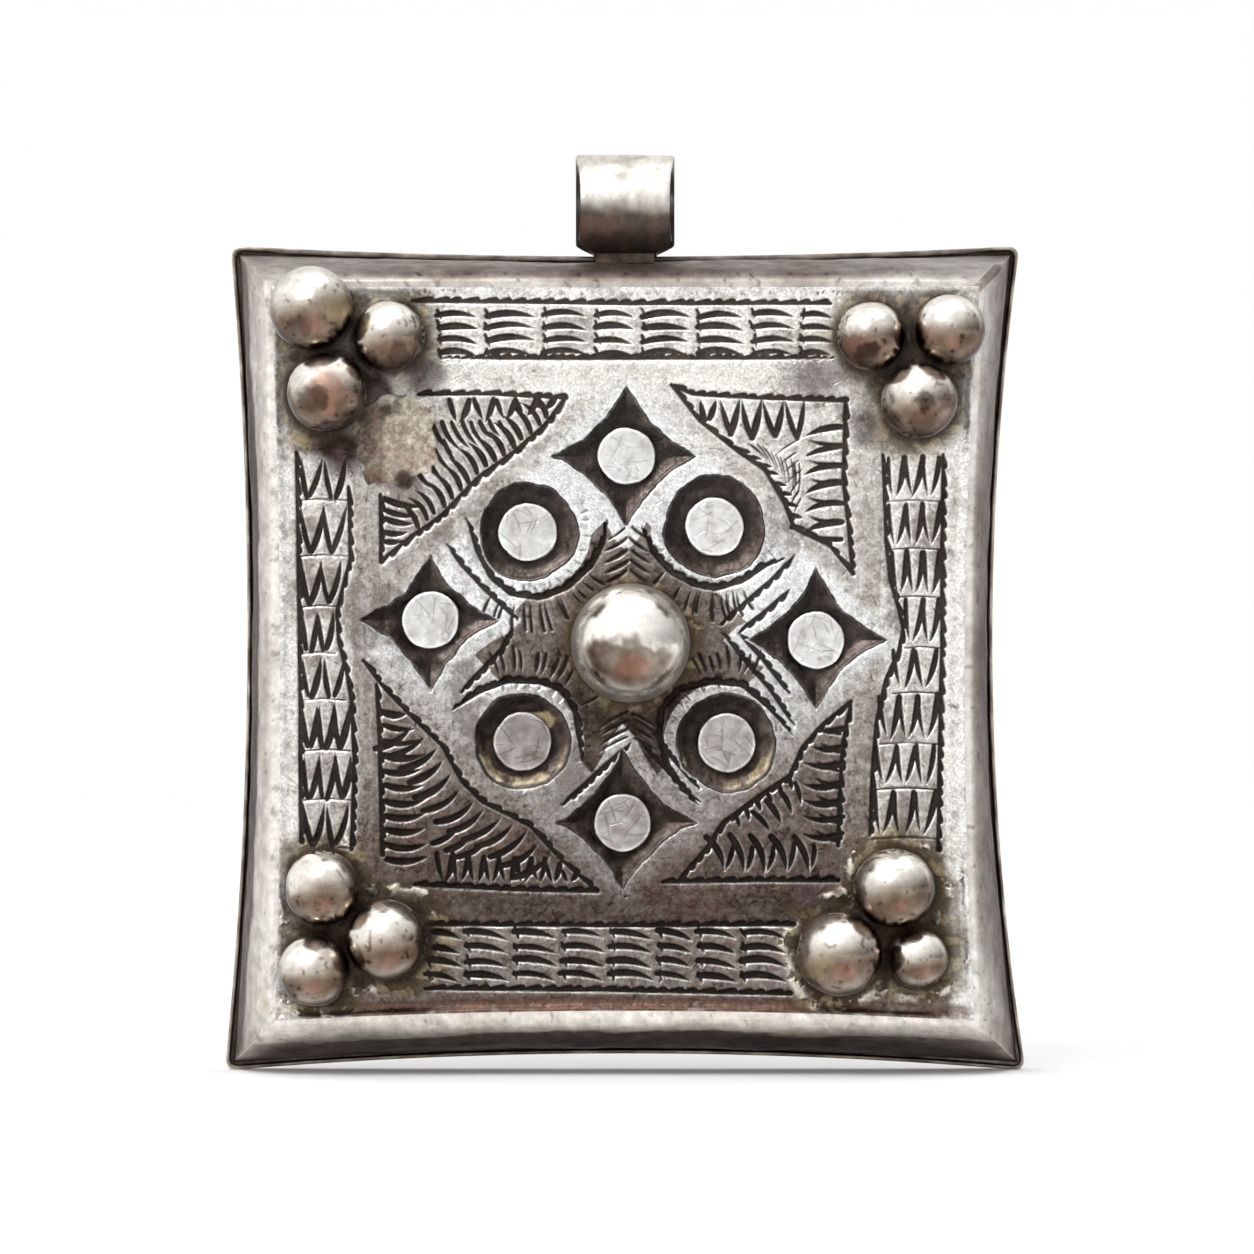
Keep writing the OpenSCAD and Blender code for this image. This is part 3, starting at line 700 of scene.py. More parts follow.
# Upper left spandrel: paired claws above, feathers along the slant, leaves at its foot
for apex, tall in ((-12.5, 1.75), (-10.7, 1.7), (-9.0, 1.6), (-7.5, 1.2), (-6.2, 0.8)):
    vee(apex, 19.05 - tall, 0.62, 0.82, tall, 0.52, 0.64)
feathers(slant_top_left, 0.11, 0.80, 16, (-0.2, 0.3), (-1.75, 2.1), 0.56, -0.26)
stroke_row([(-14.4, 17.4), (-12.7, 14.9)], [(-9.4, 17.4), (-8.7, 16.4)], 8, 0.46, -0.2)
stroke_row([(-15.6, 13.9), (-14.0, 12.2)], [(-13.6, 15.9), (-12.4, 14.2)], 4, 0.44, -0.2)
stroke_row([(-18.1, 11.6), (-14.9, 11.0)], [(-18.1, 8.4), (-16.6, 8.5)], 5, 0.66, -0.16)

# Upper right spandrel: paired claws above, leaves down the side, barbs on the slant
for apex, level, left, right in ((6.1, 17.5, 0.4, 0.8), (7.9, 16.4, 0.8, 0.8), (9.5, 16.3, 0.8, 0.8),
                                 (11.25, 16.2, 0.9, 0.7), (12.9, 16.2, 0.9, 0.5)):
    stroke((apex - 0.08, level), (apex - left, 19.2), 0.50, 0.07)
    stroke((apex + 0.08, level), (apex + right, 19.2), 0.56, -0.04)
for level in np.linspace(17.0, 9.8, 6):
    stroke((16.3, level), (13.4, level - 0.8), 0.62, -0.16)
    stroke((16.3, level - 1.3), (13.6, level - 0.9), 0.44, 0.14)
feathers(slant_top_right, 0.36, 0.76, 10, (0.0, 0.05), (0.95, -0.1), 0.44, 0.1)
stroke_row([(9.2, 15.9), (10.7, 14.3)], [(13.1, 14.2), (12.8, 11.4)], 12, 0.24, 0.1, 0.16)
stroke_row([(12.9, 15.9), (10.9, 14.4)], [(13.2, 11.6), (12.7, 10.2)], 7, 0.24, -0.1, 0.16)

# Lower left spandrel: sagging crescents, feathers up to the slant, paired claws below
stroke_row([(-18.1, -4.4), (-16.4, -4.6)], [(-18.0, -6.6), (-15.2, -6.5)], 3, 0.6, -0.18)
stroke_row([(-18.0, -7.7), (-15.0, -7.5)], [(-17.9, -15.4), (-14.7, -15.2)], 8, 0.64, -0.2)
feathers(slant_bottom_left, 0.24, 0.82, 13, (-3.0, -2.1), (-0.25, -0.35), 0.64, -0.2)
for apex in np.linspace(-13.6, -4.2, 9):
    vee(apex, -17.25, 0.48, 0.6, np.interp(apex, [-13.6, -6.0, -4.0], [2.2, 1.7, 0.8]), 0.42, 0.54)
stroke_row([(-14.4, -14.2), (-12.4, -12.9)], [(-12.6, -15.4), (-10.4, -14.2)], 3, 0.56, -0.18)

# Lower right spandrel: leaves down the side, claws below, barbs on the slant
for level in np.linspace(-5.6, -13.6, 7):
    short = ease(-9.0, -5.0, level)
    stroke((16.3, level), (13.2 + 1.2 * short, level + 0.05), 0.66, 0.2)
    stroke((16.1, level - 0.5), (14.2 + 0.8 * short, level + 0.3), 0.4, 0.1)
for apex in (7.4, 8.9, 10.5, 12.1, 13.7):
    stroke((apex - 1.1, -13.8), (apex, -16.5), 0.66, 0.2)
    stroke((apex + 0.62, -14.5), (apex + 0.1, -16.4), 0.4, 0.1)
feathers(slant_bottom_right, 0.40, 0.66, 6, (0.0, 0.0), (0.3, -1.05), 0.44, 0.1)
stroke_row([(9.6, -11.9), (10.9, -13.5)], [(12.7, -9.6), (13.2, -11.4)], 4, 0.5, 0.14)

# Hatching inside and outside the cups around the round windows
fans = [
    ((-7.3, 9.1), -48, 70, 12, 3.95, 4.75), ((-7.3, 9.1), -58, 62, 20, 5.3, 7.6),
    ((6.7, 9.5), -128, 58, 9, 3.95, 4.5), ((6.7, 9.5), -118, 52, 20, 4.9, 7.2),
    ((-7.7, -6.6), 52, 72, 12, 3.85, 4.6), ((-7.7, -6.6), 45, 66, 20, 5.0, 7.4),
    ((7.6, -6.7), 135, 78, 12, 3.9, 4.7), ((7.6, -6.7), 130, 62, 20, 5.2, 7.4),
]
for (fan_u, fan_v), facing, spread, count, near, far in fans:
    for i in range(count):
        angle = math.radians(facing + spread * (2 * i / (count - 1) - 1) + chance.normal(0, 1.5))
        out = np.array([math.cos(angle), math.sin(angle)])
        reach = far - chance.uniform(0, 0.35) * (far - near)
        start, end = out * reach + (fan_u, fan_v), out * near + (fan_u, fan_v)
        by_chevrons = abs(start[0] - 0.3) < 2.3 and abs(start[1] - 1.0) > 4.2
        if not by_chevrons and np.hypot(start[0] - boss_at[0], start[1] - boss_at[1]) > boss_r - 0.4:
            inner_row = far < 4.8
            stroke(start, end, 0.30 if inner_row else 0.36, 0.08, 0.12 if inner_row else 0.2)

# Chevrons above and below the boss
for level in np.linspace(9.4, 6.2, 5):
    stroke((0.15, level), (-1.7, level - 1.0), 0.34, 0.08, 0.2)
    stroke((0.45, level), (2.1, level - 1.1), 0.34, -0.08, 0.2)
for level in np.linspace(-4.4, -6.2, 4):
    stroke((0.25, level), (-2.1, level - 1.4), 0.36, -0.08, 0.2)
    stroke((0.65, level), (2.7, level - 1.3), 0.36, 0.08, 0.2)

# Scratches and punch slips on the plain bars and border
chased = cuts.copy()
cuts[:] = 0
for _ in range(900):
    slip_u, slip_v = chance.uniform(-25.8, 25.8), chance.uniform(-27.5, 28)
    turn = chance.normal(0.25, 0.5) + (math.pi / 2 if abs(slip_u) > abs(slip_v) else 0)
    reach = chance.uniform(0.2, 1.5)
    slip = np.array([math.cos(turn), math.sin(turn)]) * reach
    carve((slip_u, slip_v), (slip_u + slip[0], slip_v + slip[1]),
          0.15, 0.06, chance.uniform(0.02, 0.07), 0.01)
for _ in range(60):
    slip_u = chance.uniform(-16, 16)
    slip_v = chance.uniform(26.9, 27.4)
    carve((slip_u, slip_v), (slip_u + chance.normal(0, 0.15), slip_v + chance.uniform(0.3, 0.8)),
          0.2, 0.08, 0.12, 0.03)
scratches = cuts.copy()
cuts[:] = chased

# Windows: signed distances, negative inside
far_off = 99.0
diamond_edge = np.full_like(cuts, far_off)
ring_edge = np.full_like(cuts, far_off)
diamond_bow = 0.14
arc_r = (0.5 + diamond_bow ** 2) / (2 * diamond_bow)
arc_at = (math.sqrt(0.5) - diamond_bow + arc_r) / math.sqrt(2)
for window_u, window_v, up, right, down, left in diamonds.values():
    x, y = at_u - window_u, at_v - window_v
    size = (up + right + down + left) / 4
    x = np.abs(np.where(x > 0, x / right, x / left))
    y = np.abs(np.where(y > 0, y / up, y / down))
    straight = (x + y - 1) / math.sqrt(2)
    bowed = arc_r - np.hypot(x - arc_at, y - arc_at)
    diamond_edge = np.minimum(diamond_edge, np.maximum(straight, bowed) * size)
for window_u, window_v, window_r in rings.values():
    x, y = at_u - window_u, at_v - window_v
    wobble = 0.06 * np.sin(3 * np.arctan2(y, x) + window_u)
    ring_edge = np.minimum(ring_edge, np.hypot(x, y) - window_r + wobble)
ragged = (plate_cloud(0.5, 1.1, 11, 4) - 0.5) * 0.42
window_edge = np.minimum(diamond_edge, ring_edge) + ragged
floor_marks = (cloud(at_u, at_v * 0.45, 0.5, 0.7, 15, 3) - 0.5) * 0.2
window_drop = 0.38 * ease(0.08, -0.12, window_edge) + 0.28 * ease(-0.2, -1.0, window_edge)
window_drop += floor_marks * ease(0.0, -0.3, window_edge)
cuts[window_edge < 0.05] = 0
scratches[window_edge < 0.05] = 0


def inside(polygon):
    """1 inside a closed outline and 0 outside it."""
    within = np.zeros(cuts.shape, bool)
    ends = polygon[1:] + polygon[:1]
    for (x0, y0), (x1, y1) in zip(polygon, ends):
        if y0 == y1:
            continue
        crosses = (at_v < y0) != (at_v < y1)
        within ^= crosses & (at_u < x0 + (at_v - y0) * (x1 - x0) / (y1 - y0))
    return within.astype(float)


# Grounds that were chased all over and hold more tarnish
spandrels = [
    [(-15.5, 19.5)] + slant_top_left + [(-18.3, 16.5)],
    slant_top_right + [(16.4, 13.0), (16.6, 19.0)],
    slant_bottom_left[1:] + [(-15.8, -17.3), (-18.2, -17.0)],
    slant_bottom_right + [(16.0, -17.0)],
]
ground = sum(inside(outline) for outline in spandrels)
from_boss = np.hypot(at_u - boss_at[0], at_v - boss_at[1])
star = (ring_edge > 0.95) & (diamond_edge > 1.15) & (np.abs(at_u) + np.abs(at_v) < 11.5)
star = star.astype(float)
band_outlines = [
    [(-15.0, 22.3), (16.0, 22.3), (16.0, 26.3), (-15.0, 26.3)],
    [(-15.5, -20.4), (12.9, -20.4), (12.9, -25.2), (-15.5, -25.2)],
    [(-24.4, 15.0), (-20.5, 15.0), (-20.4, -14.6), (-24.3, -14.6)],
    [(23.8, 14.9), (19.5, 14.9), (18.5, -13.8), (23.5, -13.8)],
]
bands = sum(inside(outline) for outline in band_outlines)

# Solder puddles around the balls and the boss
puddle = np.full_like(cuts, far_off)
meniscus = np.zeros_like(cuts)
crowded = np.zeros_like(cuts)
nearest = np.zeros_like(cuts)
blot = (plate_cloud(1.5, 3.0, 21, 5) - 0.5) * 3.4
for ball_u, ball_v, ball_size in balls.values():
    away = np.hypot(at_u - ball_u, at_v - ball_v)
    puddle = np.minimum(puddle, away - ball_size)
    near = ease(2.2, 0.2, away - ball_size)
    crowded += near
    nearest = np.maximum(nearest, near)
    meniscus = np.maximum(meniscus, 0.4 * ease(1.2, 0.35, away / ball_size))
crowded = crowded - nearest
boss_puddle = from_boss - boss_r
meniscus = np.maximum(meniscus, 0.3 * ease(1.12, 0.7, from_boss / boss_r))
fill = np.clip(ease(0.7, -0.5, puddle + blot * 0.35), 0, 1)
cuts *= 1 - 0.9 * fill
cuts *= 1 - 0.8 * ease(0.5, -0.1, boss_puddle)
# solder run over the upper left spandrel's outer corner, with a bead at its end
torn = (plate_cloud(4.5, 1.2, 27, 3) - 0.5) * 1.6
run_over = ease(3.2, 3.0, np.hypot(at_u + 17.4, (at_v - 16.0) * 0.92) + blot * 0.4 + torn)
cuts *= 1 - 0.92 * run_over
bead = ease(1.0, 0.35, np.hypot(at_u + 16.6, at_v - 13.1))

bulge = (plate_cloud(2.5, 9.0, 31, 2) - 0.5) * 0.16
hammered = (plate_cloud(3.5, 1.5, 35, 4) - 0.5) * 0.14
pitted = np.clip(plate_cloud(7.5, 0.55, 43, 3) - 0.70, 0, 1) * 0.3
worn = 0.75 + 0.5 * plate_cloud(4.5, 3.5, 38, 3)
cut_depth = cuts * worn
# bright crusts of solder around the lower balls
crusted = ease(0.7, 0.1, np.abs(puddle + 0.55 * blot - 0.9)) * ease(6, -4, at_v)
crusted *= ease(0.53, 0.63, plate_cloud(2.5, 0.9, 25, 4))
land = bulge + hammered - pitted + meniscus + 0.12 * fill + 0.12 * run_over + 0.45 * bead + 0.14 * crusted
deepest = -0.76


def border_distance(inset):
    """Distance of each place from each of the plate's four bowed sides."""
    out = []
    corners = rim_corners + inset * inward
    for k in range(4):
        a, b = corners[k], corners[(k + 1) % 4]
        length = np.hypot(*(b - a))
        along_u, along_v = (b - a) / length
        t = ((at_u - a[0]) * along_u + (at_v - a[1]) * along_v) / length
        off = (at_u - a[0]) * along_v - (at_v - a[1]) * along_u
        out.append(off - rim_bows[k] * 4 * t * (1 - t))
    return out


def blur(values, radius):
    """Blur by a bell curve whose radius is in millimetres."""
    reach = int(3 * radius / pitch)
    weights = np.exp(-0.5 * (np.arange(-reach, reach + 1) * pitch / radius) ** 2)
    weights /= weights.sum()
    out = np.zeros_like(values)
    padded = np.pad(values, reach, mode="edge")
    half = np.zeros((values.shape[0], padded.shape[1]))
    for i, weight in enumerate(weights):
        half += weight * padded[i:i + values.shape[0]]
    for i, weight in enumerate(weights):
        out += weight * half[:, i:i + values.shape[1]]
    return out


borders = border_distance(rim_w)
from_top, from_right, from_bottom, from_left = borders
from_rim = np.minimum.reduce(borders)
corner_round = 0.9
soft_rim = -corner_round * np.log(sum(np.exp(-away / corner_round) for away in borders))

in_cut = ease(0.05, 0.17, cut_depth)
in_window = ease(0.06, -0.12, window_edge)
hollow = np.maximum(in_cut, in_window)
edge = np.clip(blur(hollow, 0.085) * (1 - hollow) * 2.4, 0, 1)
# painted highlight along the cut edges, strongest where they face the upper left light, and painted shade on
# the edges that face away
toward_v, toward_u = np.gradient(blur(hollow, 0.11), pitch)
facing = (0.8 * toward_v - 0.6 * toward_u) / (np.hypot(toward_u, toward_v) + 0.3)
painted_edge_highlight = edge * (0.62 + 0.5 * facing) * (1 + 0.5 * ease(0.25, 0.05, window_edge))
edge_shade = edge * np.clip(-facing, 0, 1)
rounding = 0.24 * blur(hollow, 0.28) * (1 - hollow)
# the border rises to the rim, over a shallow dip that is deepest at the bottom
dip = 0.05 * ease(1.3, 0.8, from_rim) * ease(0.1, 0.6, from_rim)
dip += 0.10 * ease(1.1, 0.7, from_bottom) * ease(0.0, 0.5, from_bottom)
rim_rise = (crest_w - 0.01 - face_w) * ease(0.8, 0.0, soft_rim) - 0.03 * ease(0.03, -0.03, from_rim)
land -= rounding + scratches
height = np.maximum(land - np.maximum(cut_depth, window_drop), deepest)
height = blur(height, 0.045)
height = (height - dip) * ease(-0.05, 0.35, from_rim) + rim_rise

# Colours of the plate
grime = plate_cloud(5.5, 0.8, 51, 5)
broad = plate_cloud(6.5, 7.0, 55, 4)
speckle = plate_cloud(8.5, 0.3, 59, 3)
streak_across = cloud(at_u, at_v * 12, 0.5, 3.0, 71, 3)
streak_down = cloud(at_u * 12, at_v, 0.5, 3.0, 75, 3)
beside = ease(-1.5, 1.5, np.abs(at_u) - np.abs(at_v))
brushed = streak_across * (1 - beside) + streak_down * beside - 0.5
wrinkle_a = cloud(at_u * 0.8 + at_v * 0.5, (at_v * 0.8 - at_u * 0.5) * 2.6, 0.5, 1.5, 61, 3)
wrinkle_b = cloud((at_u * 0.8 + at_v * 0.6) * 2.6, at_v * 0.8 - at_u * 0.6, 0.5, 1.5, 65, 3)
wrinkles = ease(0.030, 0.004, np.abs(wrinkle_a - 0.5)) + ease(0.030, 0.004, np.abs(wrinkle_b - 0.5))

# tone of each zone, from the top of the plate to its bottom; the darkening toward the bottom is a painted
# reflection of darker surroundings
bar_tone = np.interp(at_v, [-28, -24, -19, -14, -8, 0, 10, 17, 20, 28],
                     [0.95, 1.05, 1.22, 0.95, 0.72, 0.55, 0.50, 0.30, 0.03, 0.05])
lattice_tone = np.interp(at_v, [-18, -12, -6, 0, 6, 14, 20], [0.82, 0.68, 0.58, 0.26, 0.06, 0.02, 0.0])
band_tone = np.interp(at_v, [-25, -20, -12, 0, 14, 22], [0.82, 0.86, 0.48, 0.34, 0.26, 0.10])
lattice = (np.abs(at_u) / 20.6 + np.abs(at_v - 1.0) / 19.8 < 1.0).astype(float)
lattice = blur(lattice, 0.4)
spandrel_tone = np.interp(at_v, [-18, -4, 5, 20], [1.15, 0.90, 0.56, 0.32])
spandrel_tone -= 0.10 * ease(-6, 8, at_u) * ease(-2, 8, at_v)
# painted shadow below the boss
painted_shadow_under_boss = ease(2.6, 0.2, np.hypot(at_u - boss_at[0], at_v - boss_at[1] + 0.9) - boss_r)
star_tone = np.interp(at_v, [-6, -2, 3], [1.30, 1.06, 0.90]) + 0.25 * painted_shadow_under_boss
side_border = ease(2.1, 1.3, np.minimum(np.minimum(from_left, from_right), from_top))
border_tone = 0.10 * ease(1.0, 2.0, from_left)
tone = bar_tone
for zone, zone_tone in (
    (lattice, lattice_tone), (np.clip(bands, 0, 1), band_tone), (np.clip(ground, 0, 1), spandrel_tone),
    (star, star_tone), (side_border, border_tone),
):
    tone = tone * (1 - zone) + zone_tone * zone
crisp = ease(0.36, 0.64, speckle) - 0.5
texture = 0.55 * (grime - 0.5) + 0.36 * crisp + 0.45 * brushed + 0.4 * (broad - 0.5)
tone += texture * (0.58 - 0.16 * np.clip(tone, 0, 1))
tone -= 0.08 * ease(0, 14, at_u) * ease(-12, 6, at_v) * (1 - star)
tone += 0.30 * wrinkles * ease(0.40, 0.60, grime) + 9.0 * scratches
purple = ease(0.60, 0.68, plate_cloud(9.5, 4.0, 91, 4)) * ease(1.0, 0.3, tone)
tone += 0.35 * purple
# painted highlight and painted shade along the cut edges
tone -= painted_edge_highlight * (1.0 - 0.35 * star) * (0.6 + 0.8 * (grime - 0.2))
tone += 0.25 * edge_shade
plate_tint = silver_tone(np.clip(tone, -0.1, 1.5))
cool = lattice * (1 - star) * (1 - np.clip(ground, 0, 1))
plate_tint = plate_tint * mix(warm_hue, cool_hue, cool)
# a copper-red painted reflection in the dip along the bottom, and copper here and there in the darkest zones
bottom_red_reflection = ease(1.25, 0.75, from_bottom + 0.7 * (grime - 0.5)) * ease(0.30, 0.60, broad + 0.15)
red_reflection_and_rust = np.maximum(0.72 * bottom_red_reflection, 0.15 * (1 - star) * ease(0.58, 0.72, broad) * ease(0.55, 0.9, tone))
plate_tint = mix(plate_tint, copper_stain * (0.20 + 0.60 * grime)[..., None], red_reflection_and_rust)
# worn bright along the rim, less at the bottom, partly a painted highlight that runs on from the walls'
# crest
rubbed_and_highlight = ease(0.8, 0.2, soft_rim + 0.65 * ease(1.6, 0.8, from_bottom) + 0.7 * (grime - 0.5))
plate_tint = mix(plate_tint, silver_tone(0.10 + 0.7 * (grime - 0.5) + 0.3 * crisp), 0.85 * rubbed_and_highlight)
# solder: brown and olive stains around the seats, with tan crusts
stain = np.clip(0.9 * ease(2.3, 0.2, puddle + blot * 0.8), 0, 0.85)
stain = np.maximum(stain, 0.75 * ease(1.5, 0.0, boss_puddle + blot * 0.5))
stain_tint = mix(olive_stain, brown_patina * 1.5, np.clip(2.2 * (broad - 0.35), 0, 1))
stain_tint = mix(stain_tint, tan_solder, ease(0.52, 0.62, grime) * 0.8)
off_rim = 0.3 + 0.7 * ease(0.0, 0.8, soft_rim + 0.6 * (grime - 0.5))
plate_tint = mix(plate_tint, stain_tint, stain * off_rim)
# heat stains beside the solder, and painted shadows between the balls, as (u, v, reach, share)
heat_stains_and_shadows = [
    (-21.2, 15.4, 2.9, 1.0), (-15.0, 20.9, 2.5, 0.8), (-18.4, 19.9, 2.2, 1.0), (14.6, 20.9, 2.9, 0.7),
    (17.9, 17.2, 2.0, 0.7), (-17.4, -18.4, 2.4, 0.7), (13.4, -18.6, 2.6, 0.6), (-14.6, 16.4, 1.6, 0.6),
]
scorch_and_shadow = np.zeros_like(cuts)
for stain_u, stain_v, reach, share in heat_stains_and_shadows:
    away = np.hypot(at_u - stain_u, at_v - stain_v) + 0.45 * blot
    scorch_and_shadow = np.maximum(scorch_and_shadow, share * ease(reach, 0.35 * reach, away))
scorch_and_shadow_colour = mix(mauve_scorch_and_shadow, brown_patina, ease(0.42, 0.62, grime))
plate_tint = mix(plate_tint, scorch_and_shadow_colour, scorch_and_shadow * (1 - run_over))
crust_tone = 0.52 + 0.45 * (grime - 0.5) + 0.25 * crisp + 0.55 * ease(-16.8, -20.2, at_u + 1.2 * blot)
crust_tone += 0.4 * ease(0.55, 0.72, plate_cloud(12.5, 1.3, 95, 4))
crust = silver_tone(crust_tone) * run_hue
rust_spots = ease(0.66, 0.74, plate_cloud(14.5, 0.8, 97, 3))
crust = mix(crust, copper_stain, 0.35 * rust_spots)
plate_tint = mix(plate_tint, crust, 0.94 * run_over)
lower_crust = silver_tone(0.18 + 1.6 * (grime - 0.5)) * crust_hue
plate_tint = mix(plate_tint, lower_crust, 0.8 * crusted)
# patina at the seats of the balls and boss, and painted shade between the balls of each cluster
seat_patina_and_shade = np.maximum(ease(0.8, -0.1, puddle + blot * 0.25), ease(0.5, -0.2, boss_puddle))
seat_patina_and_shade = np.maximum(seat_patina_and_shade, 0.9 * ease(0.15, 0.75, crowded + 0.6 * (grime - 0.5)))
plate_tint = mix(plate_tint, brown_patina, 0.92 * np.maximum(seat_patina_and_shade * off_rim, bead))
# black and brown patina in the cuts, painted darker toward the bottom as shade
cut_patina_and_shade = mix(black_patina, 1.5 * brown_patina, np.clip(2.2 * (grime - 0.30), 0, 1))
cut_patina_and_shade = cut_patina_and_shade * np.interp(at_v, [-22, -4, 6, 20], [0.35, 0.45, 0.62, 0.9])[..., None]
plate_tint = mix(plate_tint, cut_patina_and_shade, 0.97 * in_cut)
# painted shadow: floors are darkest under the rim's upper left side, and painted shade darkens them around
# the discs
edge_v, edge_u = np.gradient(window_edge, pitch)
painted_rim_shadow = (edge_v - edge_u) * 0.7 * ease(-1.5, -0.1, window_edge)
from_disc = np.full_like(cuts, far_off)
for place in list(diamonds.values()) + list(rings.values()):
    from_disc = np.minimum(from_disc, np.hypot(at_u - place[0], at_v - place[1]) - diamond_disc_r)
window_tone = 1.50 + 0.6 * (grime - 0.5) - 1.3 * floor_marks + 0.42 * painted_rim_shadow
window_tone += 0.25 * ease(0.6, 0.0, from_disc)
window_tint = silver_tone(np.clip(window_tone, 1.0, 1.75))
# pale solder crescents in the lower round windows, partly a painted lit edge on their lower side
lower_rings = (at_v < -5) & (ring_edge < 0.2)
solder_and_lit_crescent = lower_rings * ease(-0.95, -0.7, window_edge) * ease(-0.1, -0.3, window_edge)
solder_and_lit_crescent = solder_and_lit_crescent * ease(-6.4, -8.2, at_v) * ease(0.34, 0.62, grime)
pale_solder_and_light = mix(tan_solder * 0.6, cream_solder, ease(-0.55, -0.25, window_edge))
window_tint = mix(window_tint, pale_solder_and_light * (0.5 + grime)[..., None], 0.8 * solder_and_lit_crescent)
solder_blob = ease(1.15, 0.85, np.hypot(at_u + 6.3, (at_v + 5.0) * 1.5) + 0.8 * (grime - 0.5))
window_tint = mix(window_tint, tan_solder * (0.45 + 0.9 * grime)[..., None], 0.85 * solder_blob)
plate_tint = mix(plate_tint, window_tint, 0.98 * in_window)
plate_rough = 0.25 + 0.10 * np.clip(tone, 0, 1.2) + 0.15 * stain + 0.2 * in_cut + 0.1 * in_window
plate_rough += 0.35 * run_over - 0.1 * crusted
plate_metal = 1 - 0.6 * in_cut
plate_metal *= 1 - np.maximum(0.35 * stain, 0.7 * run_over)


def sample(values, u, v):
    """Values of the drawn grid at any places, between its points."""
    x = np.clip((u - grid_u[0]) / pitch, 0, len(grid_u) - 1.001)
    y = np.clip((v - grid_v[0]) / pitch, 0, len(grid_v) - 1.001)
    i, j = x.astype(int), y.astype(int)
    fx, fy = x - i, y - j
    if values.ndim == 3:
        fx, fy = fx[..., None], fy[..., None]
    low = values[j, i] * (1 - fx) + values[j, i + 1] * fx
    high = values[j + 1, i] * (1 - fx) + values[j + 1, i + 1] * fx
    return low * (1 - fy) + high * fy


tuck = 0.15
plate_corners = rim_corners + (rim_w - tuck) * inward
border_corner = 0.3
part_steps = 312
part_rows = ["upper", "middle", "lower"]
part_columns = ["left", "centre", "right"]
slope_v, slope_u = np.gradient(height, pitch)
for row in range(3):
    for column in range(3):
        s = np.linspace(column / 3, (column + 1) / 3, part_steps)
        t = np.linspace(row / 3, (row + 1) / 3, part_steps)
        places = patch(plate_corners, rim_bows, border_corner, s, t)
        place_u, place_v = places[..., 0], places[..., 1]
        top = face_w + sample(height, place_u, place_v)
        points = to_scene(place_u, place_v, top).reshape(-1, 3)
        n = part_steps
        rim_loop = ([j for j in range(n)] + [i * n + n - 1 for i in range(1, n)]
                    + [(n - 1) * n + j for j in range(n - 2, -1, -1)] + [i * n for i in range(n - 2, 0, -1)])
        under = points[rim_loop].copy()
        under[:, 1] = (bail_depth - ledge_top) / 1000
        # faces run so that they look to the front, then the skirt and the flat underside
        faces = grid_faces(n, n, flip=True)
        start = n * n
        count = len(rim_loop)
        for i in range(count):
            after = (i + 1) % count
            faces.append((rim_loop[i], rim_loop[after], start + after, start + i))
        faces.append(tuple(start + i for i in range(count)))
        tint = np.concatenate([sample(plate_tint, place_u, place_v).reshape(-1, 3),
                               np.tile(silver_tone(0.5), (count, 1))])
        rough = np.concatenate([sample(plate_rough, place_u, place_v).ravel(), np.full(count, 0.5)])
        metal = np.concatenate([sample(plate_metal, place_u, place_v).ravel(), np.full(count, 1.0)])
        name = "plate_" + part_rows[row] + "_" + part_columns[column]
        piece = make_piece(name, np.concatenate([points, under]), faces, ["chased_plate"], "case",
                           plate_material, tint, rough, metal)
        slope = unit(np.stack([-sample(slope_u, place_u, place_v), -np.ones((n, n)),
                               -sample(slope_v, place_u, place_v)], -1)).reshape(-1, 3)
        side = np.zeros((count, 3))
        side[:, 1] = 1.0
        piece.data.normals_split_custom_set_from_vertices(np.concatenate([slope, side]).tolist())


# Side walls: bent strips with a rounded shoulder, dented, tarnished and painted with light and shade

wall_names = ["side_wall_top", "side_wall_right", "side_wall_bottom", "side_wall_left"]
# tarnish and painted light and shade from the foot (0) to the crest (1) of each wall at its middle, and at
# the ears: dark low down, bright at the crest
wall_shade_and_tarnish = [
    ([0.0, 0.10, 0.74, 0.90, 1.0], [0.90, 0.96, 0.90, 0.60, 0.30]),
    ([0.0, 0.22, 0.50, 0.75, 0.92, 1.0], [1.45, 1.28, 0.92, 0.56, 0.30, 0.14]),
    ([0.0, 0.50, 0.56, 0.66, 0.76, 0.9, 1.0], [1.55, 1.42, 0.62, 0.42, 0.12, 0.03, 0.05]),
    ([0.0, 0.33, 0.41, 0.70, 1.0], [1.52, 1.45, 0.46, 0.34, 0.10]),
]
ear_shade_and_tarnish = ([0.0, 0.05, 0.2, 0.7, 1.0], [0.85, 0.60, 0.48, 0.38, 0.18])
# how soon each wall's own shades begin beside the ears
ear_fade = [0.6, 0.22, 0.25, 0.22]
